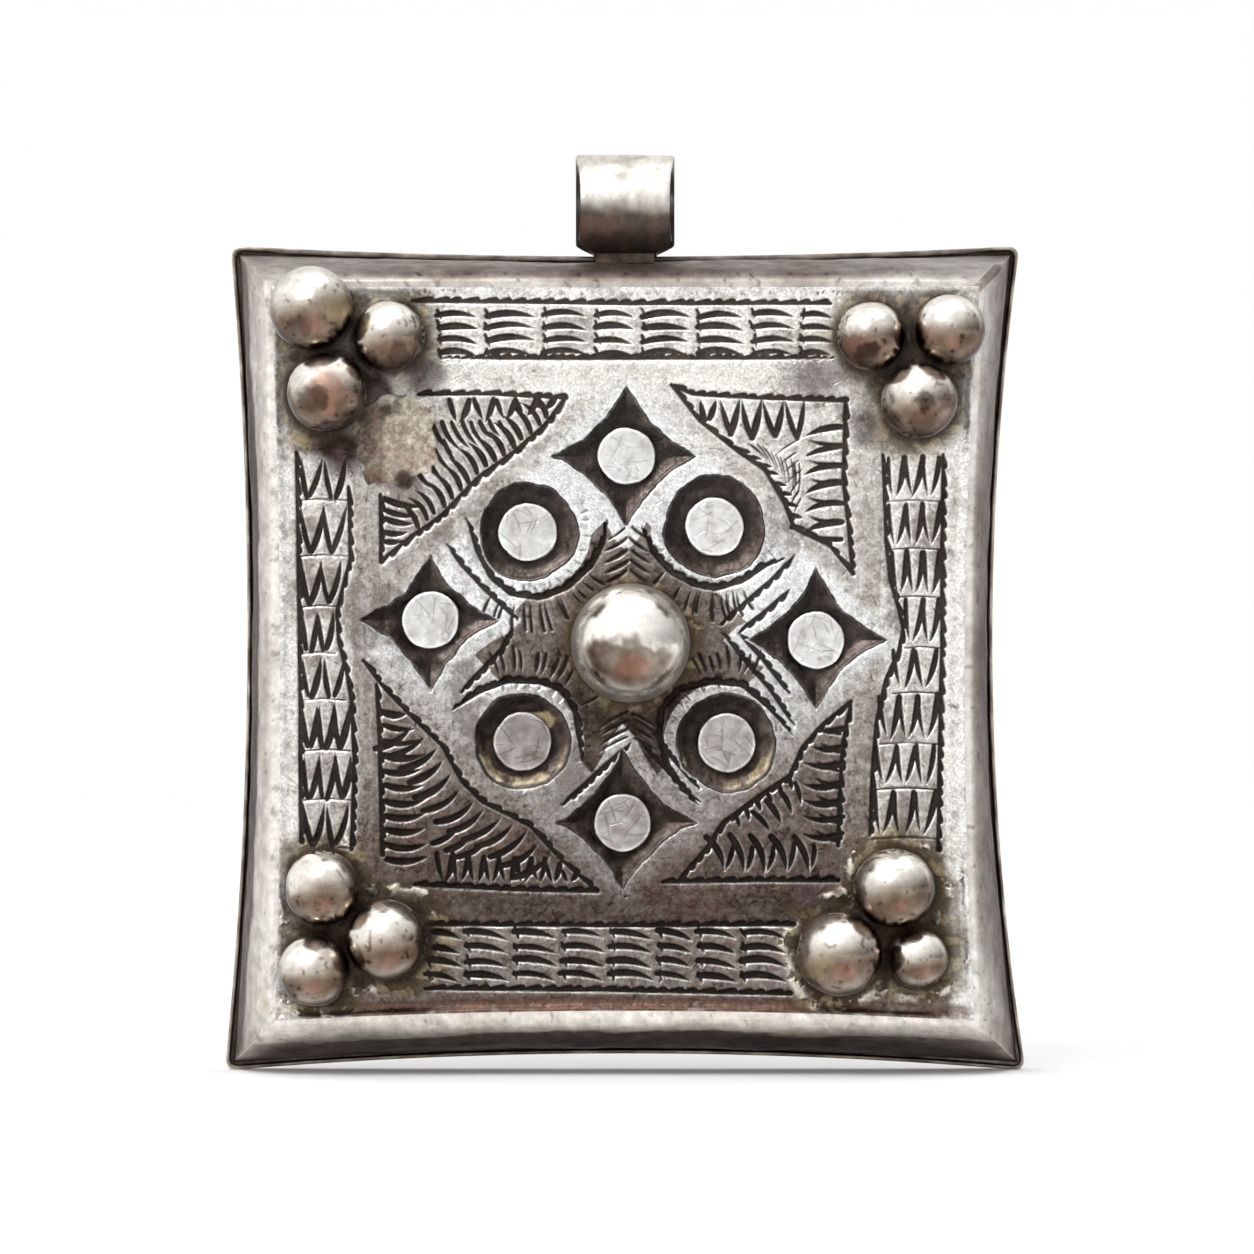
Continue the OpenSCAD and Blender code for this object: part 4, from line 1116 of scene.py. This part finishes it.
# lumps of solder on the walls, as (u, v, half width, half height, rise)
lumps = [(-27.3, -26.3, 0.75, 1.5, 0.5), (26.0, 27.4, 1.1, 0.9, 0.35)]
along_steps = 400
shoulder_steps = 40
inner_steps = 8
outer_relief = 0.12
outer_foot_corners = lip_corners + (foot_in + outer_relief) * inward
outer_foot_bows = [bow - outer_relief for bow in lip_bows]
strips = []
for k in range(4):
    t = np.linspace(0, 1, along_steps)
    power = (shoulder_ear + (shoulder_mid - shoulder_ear) * 4 * t * (1 - t))[:, None]
    foot = side_point(outer_foot_corners, outer_foot_bows, k, t)[:, None]
    crest = side_point(rim_corners, rim_bows, k, t)[:, None]
    inner_foot = side_point(foot_corners + wall_t * inward, foot_bows, k, t)[:, None]
    inner_crest = side_point(rim_corners + wall_t * inward, rim_bows, k, t)[:, None]
    rim = side_point(rim_corners + rim_w * inward, rim_bows, k, t)
    turn = np.linspace(0, math.pi / 2, shoulder_steps)[None]
    rise = np.sin(turn) ** (2 / power)
    creep = 1 - np.clip(np.cos(turn), 0, 1) ** (2 / power)
    outer = foot + (crest - foot) * creep[..., None]
    outer_w = foot_w + (crest_w - foot_w) * rise
    dent = (cloud(outer[..., 0], outer[..., 1], outer_w, 5.0, 61 + 5 * k, 3) - 0.5) * 0.55
    dent += (cloud(outer[..., 0], outer[..., 1], outer_w, 1.2, 81 + 5 * k, 2) - 0.5) * 0.10
    dent *= np.sin(math.pi * np.clip(rise, 0, 1)) * np.sin(math.pi * t)[:, None] ** 0.3
    into = unit(inward[k] + inward[(k + 1) % 4])
    outer = outer + into * np.maximum(dent, -0.15)[..., None]
    lump_share = np.zeros_like(outer_w)
    for lump_u, lump_v, half_u, half_v, lump_rise in lumps:
        away = np.hypot((outer[..., 0] - lump_u) / half_u, (outer[..., 1] - lump_v) / half_v)
        lump_share = np.maximum(lump_share, ease(1.1, 0.3, away))
        outer_w = outer_w + lump_rise * ease(1.1, 0.0, away)

    turn = np.linspace(math.pi / 2, 0, inner_steps)[None]
    inner_rise = np.sin(turn) ** (2 / power)
    inner_creep = 1 - np.clip(np.cos(turn), 0, 1) ** (2 / power)
    inner = inner_foot + (inner_crest - inner_foot) * inner_creep[..., None]
    inner_w = foot_w + (flange_w - foot_w) * inner_rise

    level = np.full((along_steps, 1), 1.0)
    ring_uv = np.concatenate([outer, rim[:, None], rim[:, None], inner], 1)
    ring_w = np.concatenate([outer_w, level * (crest_w - 0.01), level * flange_w, inner_w], 1)
    ring = (ring_uv[..., 0], ring_uv[..., 1], ring_w)
    points = to_scene(*ring)
    run = np.ones_like(ring_w)
    run[:, :shoulder_steps] = creep
    lump_share = np.concatenate([lump_share, np.zeros((along_steps, ring_w.shape[1] - shoulder_steps))], 1)

    grime = cloud(*ring, 1.3, 101 + 4 * k, 4)
    broad = cloud(*ring, 7.0, 121 + 4 * k, 3)
    side_run = np.linalg.norm(lip_corners[k] - lip_corners[(k + 1) % 4]) * t[:, None]
    drawn = cloud(side_run * 0.25, run * 9, 0.5, 1.6, 131 + 4 * k, 4)
    wander = cloud(side_run, run * 4, 0.5, 9.0, 141 + 4 * k, 3)
    nicks = ease(0.72, 0.80, cloud(*ring, 0.5, 145 + 4 * k, 2))
    ragged = np.clip(run + 0.24 * (drawn - 0.5) + 0.14 * (grime - 0.5) + 0.24 * (wander - 0.5), 0, 1)
    middle = (4 * t * (1 - t))[:, None] ** ear_fade[k]
    tone = np.interp(ragged, *ear_shade_and_tarnish) * (1 - middle) + np.interp(ragged, *wall_shade_and_tarnish[k]) * middle
    tone = tone + (0.7 * (drawn - 0.5) + 0.6 * (grime - 0.5)) * (0.35 + 0.4 * np.clip(tone, 0, 1))
    tone += 0.5 * (broad - 0.5) + 0.35 * nicks * ease(0.3, 0.8, run)
    if k < 2:
        # open seam of the mitre at the upper right ear
        mitre = t > 0.99 if k == 0 else t < 0.01
        tone += 0.5 * mitre[:, None] * ease(0.35, 0.5, run)
    tint = silver_tone(np.clip(tone, -0.1, 1.6))
    warmth = [0.0, 0.0, 0.5, 0.3][k] + 0.5 * ease(0.45, 0.65, broad)
    tint = tint * mix(warm_hue, amber_hue, warmth)
    tint = mix(tint, silver_tone(0.2) * lump_hue, 0.8 * lump_share)
    dark = ease(0.7, 1.3, tone)
    strips.append((points, tint, 0.38 + 0.15 * grime + 0.1 * dark, 1 - 0.3 * dark))


def strip_normals(points):
    """Normals of a strip's skin, from the steps along it and around it."""
    around = np.roll(points, -1, 1) - np.roll(points, 1, 1)
    return unit(np.cross(around, np.gradient(points, axis=0)))


# the ears are softly rounded: near a mitre both walls turn toward a shared direction
all_normals = [strip_normals(strip[0]) for strip in strips]
for normals in all_normals:
    normals[:, shoulder_steps] = (0, -1, 0)
ear_share = 0.07
for k in range(4):
    far = (k + 1) % 4
    shared = unit(all_normals[k][-1] + all_normals[far][0])
    for normals, away in ((all_normals[k], 1 - t), (all_normals[far], t)):
        blend = ease(ear_share, 0.0, away)[:, None, None]
        normals[:] = normals * (1 - blend) + shared[None] * blend


def strip_faces(n):
    """Skin and both ends of a strip with n points around it."""
    faces = grid_faces(along_steps, n, wrap_columns=True)
    faces.append(tuple(range(n - 1, -1, -1)))
    faces.append(tuple((along_steps - 1) * n + j for j in range(n)))
    return faces


for k, name in enumerate(wall_names):
    points, tint, rough, metal = strips[k]
    piece = make_piece(name + "_strip", points, strip_faces(points.shape[1]), [name], "case",
                       wall_material, tint, rough, metal)
    piece.data.normals_split_custom_set_from_vertices(all_normals[k].reshape(-1, 3).tolist())
    # ledge inside the wall, under the plate
    rim = side_point(rim_corners + rim_w * inward, rim_bows, k, t)
    inner_edge = side_point(rim_corners + (rim_w + ledge_w) * inward, rim_bows, k, t)
    ring_uv = np.stack([rim, rim, inner_edge, inner_edge], 1)
    ring_w = np.tile([flange_w, ledge_top, ledge_top, flange_w], (along_steps, 1))
    ring = (ring_uv[..., 0], ring_uv[..., 1], ring_w)
    grime = cloud(*ring, 1.6, 951 + 4 * k, 4)
    name = name.replace("side_wall", "plate_ledge")
    make_piece(name + "_strip", to_scene(*ring), strip_faces(4), [name], "case",
               wall_material, silver_tone(0.95 + 1.2 * (grime - 0.5)), 0.45, 0.9, 40)


# Back pan: shallow tray with a thin, slightly wavy upturned edge

pan_steps = 150
edge_top = pan_t + pan_edge_h
roll = 0.11
pan_bevel = 0.12
rings_of_edge = [
    (pan_bevel, 0.0), (0.03, 0.05), (0.01, 0.16), (0.01, 0.8), (0.01, edge_top - roll),
    (0.03, edge_top - 0.03),
    (roll, edge_top), (pan_edge_t - roll, edge_top), (pan_edge_t - 0.03, edge_top - 0.03),
    (pan_edge_t, edge_top - roll), (pan_edge_t, 0.9), (pan_edge_t, pan_t),
]
steps = np.linspace(0, 1, pan_steps)


def pan_grid(inset):
    """Square grid of points inside the pan's outline, drawn in by an inset."""
    return patch(lip_corners + inset * inward, lip_bows, max(pan_corner - inset, 0.3), steps, steps)


def loop_of(grid):
    """Points around the border of a square grid, clockwise from its first corner."""
    return np.concatenate([grid[0, :-1], grid[:-1, -1], grid[-1, :0:-1], grid[:0:-1, 0]])


all_points, all_tints, all_rough = [], [], []
for inset, level, seed in ((pan_bevel, 0.0, 141), (pan_edge_t, pan_t, 151)):
    grid = pan_grid(inset)
    grid_at = (grid[..., 0], grid[..., 1])
    hollow = cloud(*grid_at, 0.5, 9.0, seed, 3) * 0.3
    hollow += cloud(*grid_at, 3.5, 1.7, seed + 3, 2) * 0.05
    border = np.minimum.outer(np.minimum(steps, 1 - steps), np.minimum(steps, 1 - steps))
    hollow *= ease(0, 0.06, border)
    lift = hollow if level == 0 else hollow * 0.5
    all_points.append(to_scene(*grid_at, level + lift).reshape(-1, 3))
    grime = cloud(*grid_at, 1.5, 2.2, seed + 5, 4)
    broad = cloud(*grid_at, 2.5, 11.0, seed + 8, 3)
    tone = (0.48 if level == 0 else 1.1) + 0.35 * (grime - 0.5) + 0.7 * (broad - 0.5)
    fine = cloud(grid[..., 0] * 5, grid[..., 1], 0.5, 2.0, seed + 11, 4)
    tone += 0.35 * (fine - 0.5)
    tint = silver_tone(np.clip(tone, 0, 1.5))
    all_tints.append(tint.reshape(-1, 3))
    all_rough.append((0.38 + 0.25 * (grime - 0.4)).ravel())
loop_count = 4 * (pan_steps - 1)
for inset, level in rings_of_edge[1:-1]:
    loop = loop_of(pan_grid(inset))
    inner_face = inset > 0.55 * pan_edge_t
    on_top = ease(27.2, 27.8, loop[:, 1]) * ease(27.5, 26.0, np.abs(loop[:, 0]))
    if inner_face:
        loop[:, 1] -= 0.085 * on_top
    wave = cloud(loop[:, 0], loop[:, 1], 0.5, 3.0, 161, 3) * 0.22 * ease(0.9, edge_top, level)
    all_points.append(to_scene(loop[:, 0], loop[:, 1], level - wave))
    grime = cloud(loop[:, 0], loop[:, 1], level, 1.5, 171, 4)
    tint = silver_tone(np.clip(0.62 + 1.3 * (grime - 0.5), 0.1, 1.3)) * edge_hue
    tint = mix(tint, silver_tone(0.92 + 0.8 * (grime - 0.5)), 0.85 * on_top)
    shaded = 0.55 * (1 - on_top) if inner_face else np.full(loop_count, 0.3 * ease(1.6, 0.3, level))
    tint = mix(tint, black_patina, shaded)
    all_tints.append(tint)
    all_rough.append(np.full(loop_count, 0.36))
n = pan_steps
index = np.arange(n * n).reshape(n, n)
faces = grid_faces(n, n)
faces += grid_faces(n, n, start=n * n, flip=True)
edge_loops = [loop_of(index)]
for i in range(len(rings_of_edge) - 2):
    edge_loops.append(np.arange(loop_count) + 2 * n * n + i * loop_count)
edge_loops.append(loop_of(index) + n * n)
for low_loop, high_loop in zip(edge_loops[:-1], edge_loops[1:]):
    for i in range(loop_count):
        after = (i + 1) % loop_count
        faces.append((int(low_loop[after]), int(low_loop[i]), int(high_loop[i]), int(high_loop[after])))
make_piece("back_tray", np.concatenate(all_points), faces, ["back_pan"], "back",
           wall_material, np.concatenate(all_tints), np.concatenate(all_rough), 1.0, 50)


# Balls and boss: dented spheres sitting in their solder

def sphere_points(levels):
    """Points and faces of a unit sphere with even triangles."""
    shape = bmesh.new()
    bmesh.ops.create_icosphere(shape, subdivisions=levels, radius=1.0)
    shape.verts.ensure_lookup_table()
    points = np.array([v.co for v in shape.verts])
    faces = [tuple(v.index for v in f.verts) for f in shape.faces]
    shape.free()
    return points, faces


def ball_piece(name, u, v, radius, lift, levels, seed, material, dents, reflection_tones=None, marks=()):
    """Ball with a flat seat; one without tones for its painted reflection is the boss."""
    points, faces = sphere_points(levels)
    x, y, z = points.T
    ripple = (cloud(x, y, z, 0.9, seed, 3) - 0.5) * dents
    ripple += (cloud(x, y, z, 0.22, seed + 5, 2) - 0.5) * dents * 0.15
    size = radius * (1 - 0.012 + np.minimum(ripple, 0.01))
    depth = np.maximum(z * size, -lift)
    shape = to_scene(u + x * size, v + y * size, face_w + lift + depth)
    grime = cloud(x, y, z, 0.35, seed + 9, 4)
    broad = cloud(x, y, z, 1.1, seed + 14, 3)
    # painted reflection and shade: bright above, a dark belt below the middle and a paler foot
    reflection_belt = 0.92 * y - 0.18 * x + 0.40 * (broad - 0.5) + 0.16 * (grime - 0.5)
    edge = ease(0.6, 0.12, z)
    in_front = ease(-0.35, 0.0, z)
    if reflection_tones:
        pits = ease(0.69, 0.76, cloud(x, y, z, 0.13, seed + 17, 2)) * ease(0.8, 0.2, y - 0.4 * x)
        tone = np.interp(reflection_belt, reflection_heights, reflection_tones) + 0.6 * (grime - 0.5) + 0.5 * pits
        # painted shade toward each ball's rim, most on its lower right
        tone += edge * (0.32 + 0.75 * ease(0.8, -0.2, y - 0.35 * x))
    else:
        # painted reflection: the boss's colour mirrors the dark below its bright sky, with a pale arc, and
        # painted shade at its edge
        out = np.hypot(x, y)
        mottle = cloud(x, y, z, 0.3, seed + 21, 3) - 0.5
        mirrored = ease(0.12, -0.14, y + 0.1 * x + 0.8 * mottle + 0.3 * (broad - 0.5))
        mirrored *= ease(0.88, 0.66, out)
        tone = mirrored * (1.04 - 0.4 * x + 1.2 * mottle)
        tone += 0.6 * np.maximum(ease(0.80, 1.0, out), ease(0.1, 0.0, z))
    warmth = mix(ball_hue, ball_dull_hue if reflection_tones else boss_dull_hue, np.clip(tone, 0, 1))
    tint = silver_tone(np.clip(tone, 0, 1.5)) * warmth
    # painted reflection: a copper-red patch on the lower front of each ball
    red_reflection_spot = ease(0.36, 0.10, np.hypot(x - 0.08, (y + 0.42) * 1.2) + 0.5 * (grime - 0.5)) * in_front
    tint = mix(tint, copper_red_reflection, 0.55 * red_reflection_spot)
    rough = (0.2 if reflection_tones else 0.17 + 0.3 * edge) + 0.12 * (grime - 0.4)
    for mark_x, mark_y, reach, colour, share in marks:
        spot = ease(reach, reach * 0.55, np.hypot(x - mark_x, y - mark_y) + 0.8 * (grime - 0.5)) * in_front
        tint = mix(tint, colour * (0.55 + 0.9 * grime)[:, None], share * spot)
        rough = rough + 0.25 * spot
    low = ease(0.1, -0.5, z)
    tint = mix(tint, olive_stain, 0.5 * low)
    tint = mix(tint, brown_patina, 0.85 * ease(-0.35, -0.8, z))
    make_piece(name, shape, faces, [name.replace("_bead", "")], "case", material,
               tint, rough + 0.15 * low, 1 - 0.3 * low)


# heights over the middle, as shares of the radius, and the painted reflection's tone at each
reflection_heights = [-0.95, -0.75, -0.55, -0.3, -0.08, 0.15, 0.45, 0.8]
upper_reflection = [1.05, 0.88, 0.92, 1.02, 0.80, 0.34, 0.0, 0.0]
lower_reflection = [0.90, 0.58, 0.84, 1.05, 0.76, 0.26, 0.0, 0.0]
# stains of single balls, as (x, y, reach, colour, share)
ball_marks = {
    "ball_top_left_1": [(0.62, 0.05, 0.5, tan_solder, 0.6), (-0.3, -0.5, 0.4, brown_patina, 0.5)],
    "ball_top_left_2": [(0.2, -0.6, 0.45, brown_patina, 0.6)],
    "ball_top_left_3": [(0.05, 0.1, 0.62, copper_stain, 0.75), (-0.35, -0.2, 0.4, brown_patina, 0.6)],
    "ball_top_right_1": [(-0.45, -0.35, 0.62, copper_stain * 0.6, 0.8),
                         (-0.1, -0.55, 0.4, brown_patina, 0.7)],
    "ball_top_right_2": [(-0.5, -0.1, 0.4, copper_stain * 0.8, 0.4)],
    "ball_top_right_3": [(0.1, 0.0, 0.24, brown_patina, 0.75), (0.1, -0.6, 0.4, brown_patina, 0.5)],
    "ball_bottom_right_2": [(-0.6, -0.2, 0.45, tan_solder, 0.5)],
    "ball_bottom_left_3": [(0.3, 0.5, 0.4, copper_stain * 0.7, 0.4)],
}
for seed, (name, (ball_u, ball_v, ball_size)) in enumerate(balls.items()):
    ball_piece(name + "_bead", ball_u, ball_v, ball_size, ball_lift * ball_size, 5, 200 + 20 * seed,
               ball_material, 0.09, upper_reflection if ball_v > 0 else lower_reflection,
               ball_marks.get(name, ()))
ball_piece("centre_boss_bead", boss_at[0], boss_at[1], boss_r, boss_h - boss_r, 6, 500,
           boss_material, 0.02)


# Discs in the windows: small bright rounds with bevelled, uneven edges

def disc_piece(name, u, v, radius, seed, dull, gouge=None):
    """Disc with scratches; a gouge is (u, v, reach, depth) from its middle."""
    around = 144
    profile = [(i / 32, 0.0) for i in range(29)]
    profile += [(0.93, -0.01), (0.965, -0.04), (0.99, -0.10), (1.0, -0.18), (1.0, -0.45), (1.0, -plate_t)]
    turn = np.linspace(0, 2 * math.pi, around, endpoint=False)
    shares, drops = np.array(profile).T[..., None]
    lobe = 1 + 0.012 * np.sin(2 * turn + seed) + 0.008 * np.sin(5 * turn + 2 * seed)
    lobe += (cloud(np.cos(turn) * 3, np.sin(turn) * 3, 0.5, 1.0, seed, 2) - 0.5) * 0.03
    out = shares * radius * 0.985 * lobe
    x, y = out * np.cos(turn), out * np.sin(turn)
    level = drops + (cloud(x + u, y + v, 0.5, 1.1, seed + 3, 3) - 0.5) * 0.10 * (shares < 1)
    level = level - 0.05 - 0.04 * shares ** 2
    grime = cloud(x + u, y + v, 1.5, 0.7, seed + 6, 4)
    scratch_chance = np.random.default_rng(seed)
    nicks = np.zeros_like(x)
    for _ in range(16):
        start_x, start_y = scratch_chance.uniform(-0.8, 0.8, 2) * radius
        turn_by = scratch_chance.uniform(0, math.pi)
        across = (x - start_x) * math.sin(turn_by) - (y - start_y) * math.cos(turn_by)
        ahead = (x - start_x) * math.cos(turn_by) + (y - start_y) * math.sin(turn_by)
        reach = scratch_chance.uniform(0.3, 1.4)
        nick = ease(0.08, 0.03, np.abs(across + 0.1 * ahead ** 2)) * ease(reach, 0.6 * reach, np.abs(ahead))
        nicks = np.maximum(nicks, nick)
    if gouge:
        gouge_u, gouge_v, gouge_r, gouge_depth = gouge
        bite = ease(gouge_r, gouge_r * 0.5, np.hypot(x - gouge_u, (y - gouge_v) * 1.6))
        level = level - gouge_depth * bite * (shares < 1)
    level = level - 0.03 * nicks
    # a paler ring near the rim is a painted highlight
    tone = dull + 0.5 * (grime - 0.5) + 0.22 * nicks - 0.3 * ease(0.86, 0.94, shares)
    tint = silver_tone(np.clip(tone, -0.1, 1.3)) * disc_hue
    tint = mix(tint, brown_patina, 0.85 * ease(-0.12, -0.4, drops + 0 * x))
    tint = mix(tint, tan_solder, np.clip(1.2 * (grime - 0.66), 0, 0.4))
    points = to_scene(u + x[1:], v + y[1:], face_w + level[1:]).reshape(-1, 3)
    middle = to_scene(np.array([u]), np.array([v]), np.array([face_w + level[0].mean()]))
    points = np.concatenate([points, middle])
    rows = len(profile) - 1
    faces = grid_faces(rows, around, wrap_columns=True, flip=True)
    centre_index = rows * around
    for i in range(around):
        faces.append((centre_index, i, (i + 1) % around))
    faces.append(tuple((rows - 1) * around + i for i in range(around))[::-1])
    tint = np.concatenate([tint[1:].reshape(-1, 3), tint[0].mean(0)[None]])
    rough = np.concatenate([(0.30 + 0.3 * (grime[1:] - 0.4)).ravel(), [0.33]])
    make_piece(name + "_round", points, faces, [name], "case", ball_material,
               tint, rough, 1.0)


# tone of each disc, darker on the lower ones
disc_dull = {
    "diamond_disc_top": 0.2, "diamond_disc_right": 0.25,
    "diamond_disc_bottom": 0.6, "diamond_disc_left": 0.3,
    "ring_disc_upper_left": 0.3, "ring_disc_upper_right": 0.2,
    "ring_disc_lower_right": 0.55, "ring_disc_lower_left": 0.72,
}
for seed, (name, place) in enumerate(diamonds.items()):
    gouge = (1.0, -1.25, 1.0, 0.22) if name == "diamond_disc_right" else None
    disc_piece(name, place[0], place[1], diamond_disc_r, 700 + 20 * seed, disc_dull[name], gouge)
for seed, (name, place) in enumerate(rings.items()):
    disc_piece(name, place[0], place[1], ring_disc_r, 800 + 20 * seed, disc_dull[name])


# Bail: rolled strip, narrower in front, with soft edges

bail_steps = 120
turn = np.linspace(0, 2 * math.pi, bail_steps, endpoint=False)[:, None]
forward, upward = np.cos(turn), np.sin(turn)
half_back, half_front = bail_l / 2, bail_front_l / 2
half = half_back + (half_front - half_back) * np.clip(forward, 0, 1)
draw_in = ease(-0.74, -1.0, upward)
half = half - draw_in * (half_back - 0.3 * bail_l) * 0.9
sheet = bail_r - bail_bore_r
soft = 0.16
# around the strip's section, as (share of the half width, depth below the skin, draw from the side)
section = [(-1.0, soft, 0)] + [(-1 + i / 12, 0, soft) for i in range(25)]
section += [(1.0, soft, 0), (1.0, sheet - soft, 0)]
section += [(1 - i / 6, sheet, soft) for i in range(13)] + [(-1.0, sheet - soft, 0)]
side_share, sink, draw = np.array(section).T[:, None]
bail_x = side_share * (half - draw)
sag = 0.05 * side_share ** 2 + (cloud(bail_x, forward * 4, upward * 4, 2.2, 901, 3) - 0.5) * 0.12
from_axis = bail_r - 0.03 - np.maximum(sink, np.clip(sag, 0, 0.2) * (sink < 0.3))
bail_y = -forward * from_axis
bail_z = upward * from_axis
points = np.stack([bail_x, bail_y, bail_z], -1) / 1000
grime = cloud(bail_x, bail_y, bail_z, 1.1, 911, 4)
broad = cloud(bail_x, bail_y, bail_z, 3.0, 921, 3)
drawn = cloud(bail_x * 3.0, forward * 4, upward * 4, 1.0, 931, 3)
tone = 0.20 + 0.9 * (grime - 0.5) + 0.5 * (drawn - 0.5)
tint = silver_tone(np.clip(tone, 0, 1)) * bail_hue
# darker brown toward the bottom, with copper streaks
below = ease(0.2, -0.2, upward + 0.35 * (broad - 0.5) + 0.2 * (grime - 0.5))
lower_brown = mix(1.3 * brown_patina, 0.35 * copper_stain, ease(0.50, 0.66, grime) * 0.8)
tint = mix(tint, lower_brown, np.clip(below * 0.95, 0, 0.95))
tint = mix(tint, black_patina, 0.85 * (sink > sheet * 0.6) + 0 * tint[..., 0])
faces = grid_faces(bail_steps, len(section), wrap_rows=True, wrap_columns=True)
make_piece("bail_strip", points, faces, ["bail_tube"], "case", ball_material,
           tint, 0.28 + 0.3 * (grime - 0.4) + 0.1 * below, 1 - 0.25 * below, 45)


# Folded paper: one sheet folded to and fro, with soft folds and slightly wavy leaves

paper_w, paper_h = 40.0, 44.0
leaves = 6
leaf_t, leaf_gap = 0.45, 0.2
paper_gap = 0.3
paper_depth = leaves * leaf_t + (leaves - 1) * leaf_gap
paper_top = min(flange_w, ledge_top - backing_t) - paper_gap
leaf_step = leaf_t + leaf_gap
half_run = paper_w / 2 - leaf_step / 2 - leaf_t / 2
middle_line = []
for leaf in range(leaves):
    to_right = leaf % 2 == 0
    level = leaf_t / 2 + leaf * leaf_step
    ends = (-half_run, half_run) if to_right else (half_run, -half_run)
    for share in np.linspace(0, 1, 20):
        middle_line.append((ends[0] + (ends[1] - ends[0]) * share, level))
    if leaf < leaves - 1:
        for angle in np.linspace(-math.pi / 2, math.pi / 2, 9)[1:-1]:
            fold_u = math.cos(angle) * leaf_step / 2
            middle_line.append((ends[1] + (fold_u if to_right else -fold_u),
                                level + leaf_step / 2 + math.sin(angle) * leaf_step / 2))
middle_line = np.array(middle_line)
tangent = unit(np.gradient(middle_line, axis=0))
normal = np.stack([-tangent[:, 1], tangent[:, 0]], 1)
thin = leaf_t * 0.36
outline = np.concatenate([middle_line + normal * thin, (middle_line - normal * thin)[::-1]])
paper_rows = 40
row_v = np.linspace(-paper_h / 2, paper_h / 2, paper_rows)[:, None]
paper_u, paper_level, paper_v = np.broadcast_arrays(outline[None, :, 0], outline[None, :, 1], row_v)
wave = (cloud(paper_u, paper_v, 0.5, 12.0, 941, 2) - 0.5) * 0.16
inset_edge = np.abs(paper_v) > paper_h / 2 - 0.01
uneven = 0.15 * noise(paper_u * 0.6, 0 * paper_u, 0.5, 951)
trim_v = paper_v + np.where(inset_edge, -np.sign(paper_v) * uneven, 0)
leaf_w = np.clip(paper_level + wave, 0.02, paper_depth - 0.02)
points = to_scene(paper_u, trim_v, paper_top - paper_depth + leaf_w)
n = len(outline)
faces = grid_faces(paper_rows, n, wrap_columns=True)
half_n = n // 2
for row, flip in ((0, True), (paper_rows - 1, False)):
    for i in range(half_n - 1):
        face = (row * n + i, row * n + i + 1, row * n + n - 2 - i, row * n + n - 1 - i)
        faces.append(face[::-1] if flip else face)
spots = cloud(paper_u, paper_v, paper_level, 2.5, 961, 4)
paper_tint = mix(pale_paper, stained_paper, np.clip(1.5 * (spots - 0.35), 0, 1))
worn_fold = ease(half_run - 1.2, half_run + 0.3, np.abs(paper_u))
paper_tint = mix(paper_tint, worn_paper, 0.55 * worn_fold)


make_piece("paper_packet", points, faces, ["folded_paper"], "paper", paper_material(),
           paper_tint, 0.9, 0.0, 50)

# Solids that stay as they are, with better materials
for node, material in (("window_backing", backing_material), ("bail_solder", solder_material)):
    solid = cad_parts[node]
    solid = bpy.data.objects[solid] if isinstance(solid, str) else solid
    solid.data.materials.clear()
    solid.data.materials.append(material)


# Stage: white floor and backdrop, soft light, camera square to the plate

floor_z = cad_low[2]
stage_half = 2.0
backdrop_y = 0.9
backdrop_top = floor_z + 2.5
for name, front_corner, back_corner, glow in (
    ("floor", (-stage_half, floor_z), (stage_half, floor_z), 0.1),
    ("backdrop", (backdrop_y, floor_z), (backdrop_y, backdrop_top), 1.0),
):
    corners = [(x, y, z) for x, (y, z) in zip(
        (-stage_half, stage_half, stage_half, -stage_half),
        (front_corner, front_corner, back_corner, back_corner))]
    mesh = bpy.data.meshes.new(name)
    mesh.from_pydata(corners, [], [(0, 1, 2, 3)])
    mesh.materials.append(stage_material(name + " white", glow))
    obj = bpy.data.objects.new(name, mesh)
    bpy.context.scene.collection.objects.link(obj)

world = bpy.data.worlds.new("studio")
bpy.context.scene.world = world
world.use_nodes = True
tree = world.node_tree
place = add(tree, "TexCoord", {}).outputs["Generated"]
toward = add(tree, "VectorMath", {0: place, 1: (-0.45, -0.35, 0.82)}, operation="DOT_PRODUCT")
sky_share = add(tree, "MapRange", {"Value": toward.outputs["Value"], "From Min": -0.5, "From Max": 0.9})
sky = add_ramp(tree, sky_share.outputs["Result"], [(0.0, [0.22] * 3), (1.0, [1.0] * 3), (0.6, [0.76] * 3)])
wire(tree, tree.nodes["Background"], {"Color": sky, "Strength": 1.25})


def area_light(name, at, target, size, power):
    """Round lamp that looks at its target."""
    lamp = bpy.data.lights.new(name, "AREA")
    lamp.shape = "DISK"
    lamp.size = size
    lamp.energy = power
    obj = bpy.data.objects.new(name, lamp)
    obj.location = at
    way = np.array(target) - np.array(at)
    obj.rotation_euler = (
        math.acos(-way[2] / np.linalg.norm(way)), 0, math.atan2(way[1], way[0]) - math.pi / 2)
    bpy.context.scene.collection.objects.link(obj)


middle_of_plate = (0, 0, plate_mid / 1000)
area_light("key", (-0.22, -0.42, 0.42), middle_of_plate, 0.34, 1.5)
area_light("top", (0.15, -0.05, 0.7), middle_of_plate, 0.6, 0.5)

camera_data = bpy.data.cameras.new("camera")
camera_distance = 600.0
picture_width = 94.05
camera_data.sensor_width = 36.0
camera_data.lens = camera_data.sensor_width * camera_distance / picture_width
camera = bpy.data.objects.new("camera", camera_data)
camera_at = np.array([0.14, 1.98, face_w + camera_distance])
camera.location = to_scene(*camera_at)
camera.rotation_euler = (math.pi / 2, 0, 0)
bpy.context.scene.collection.objects.link(camera)
bpy.context.scene.camera = camera
bpy.context.scene.view_settings.view_transform = "Standard"
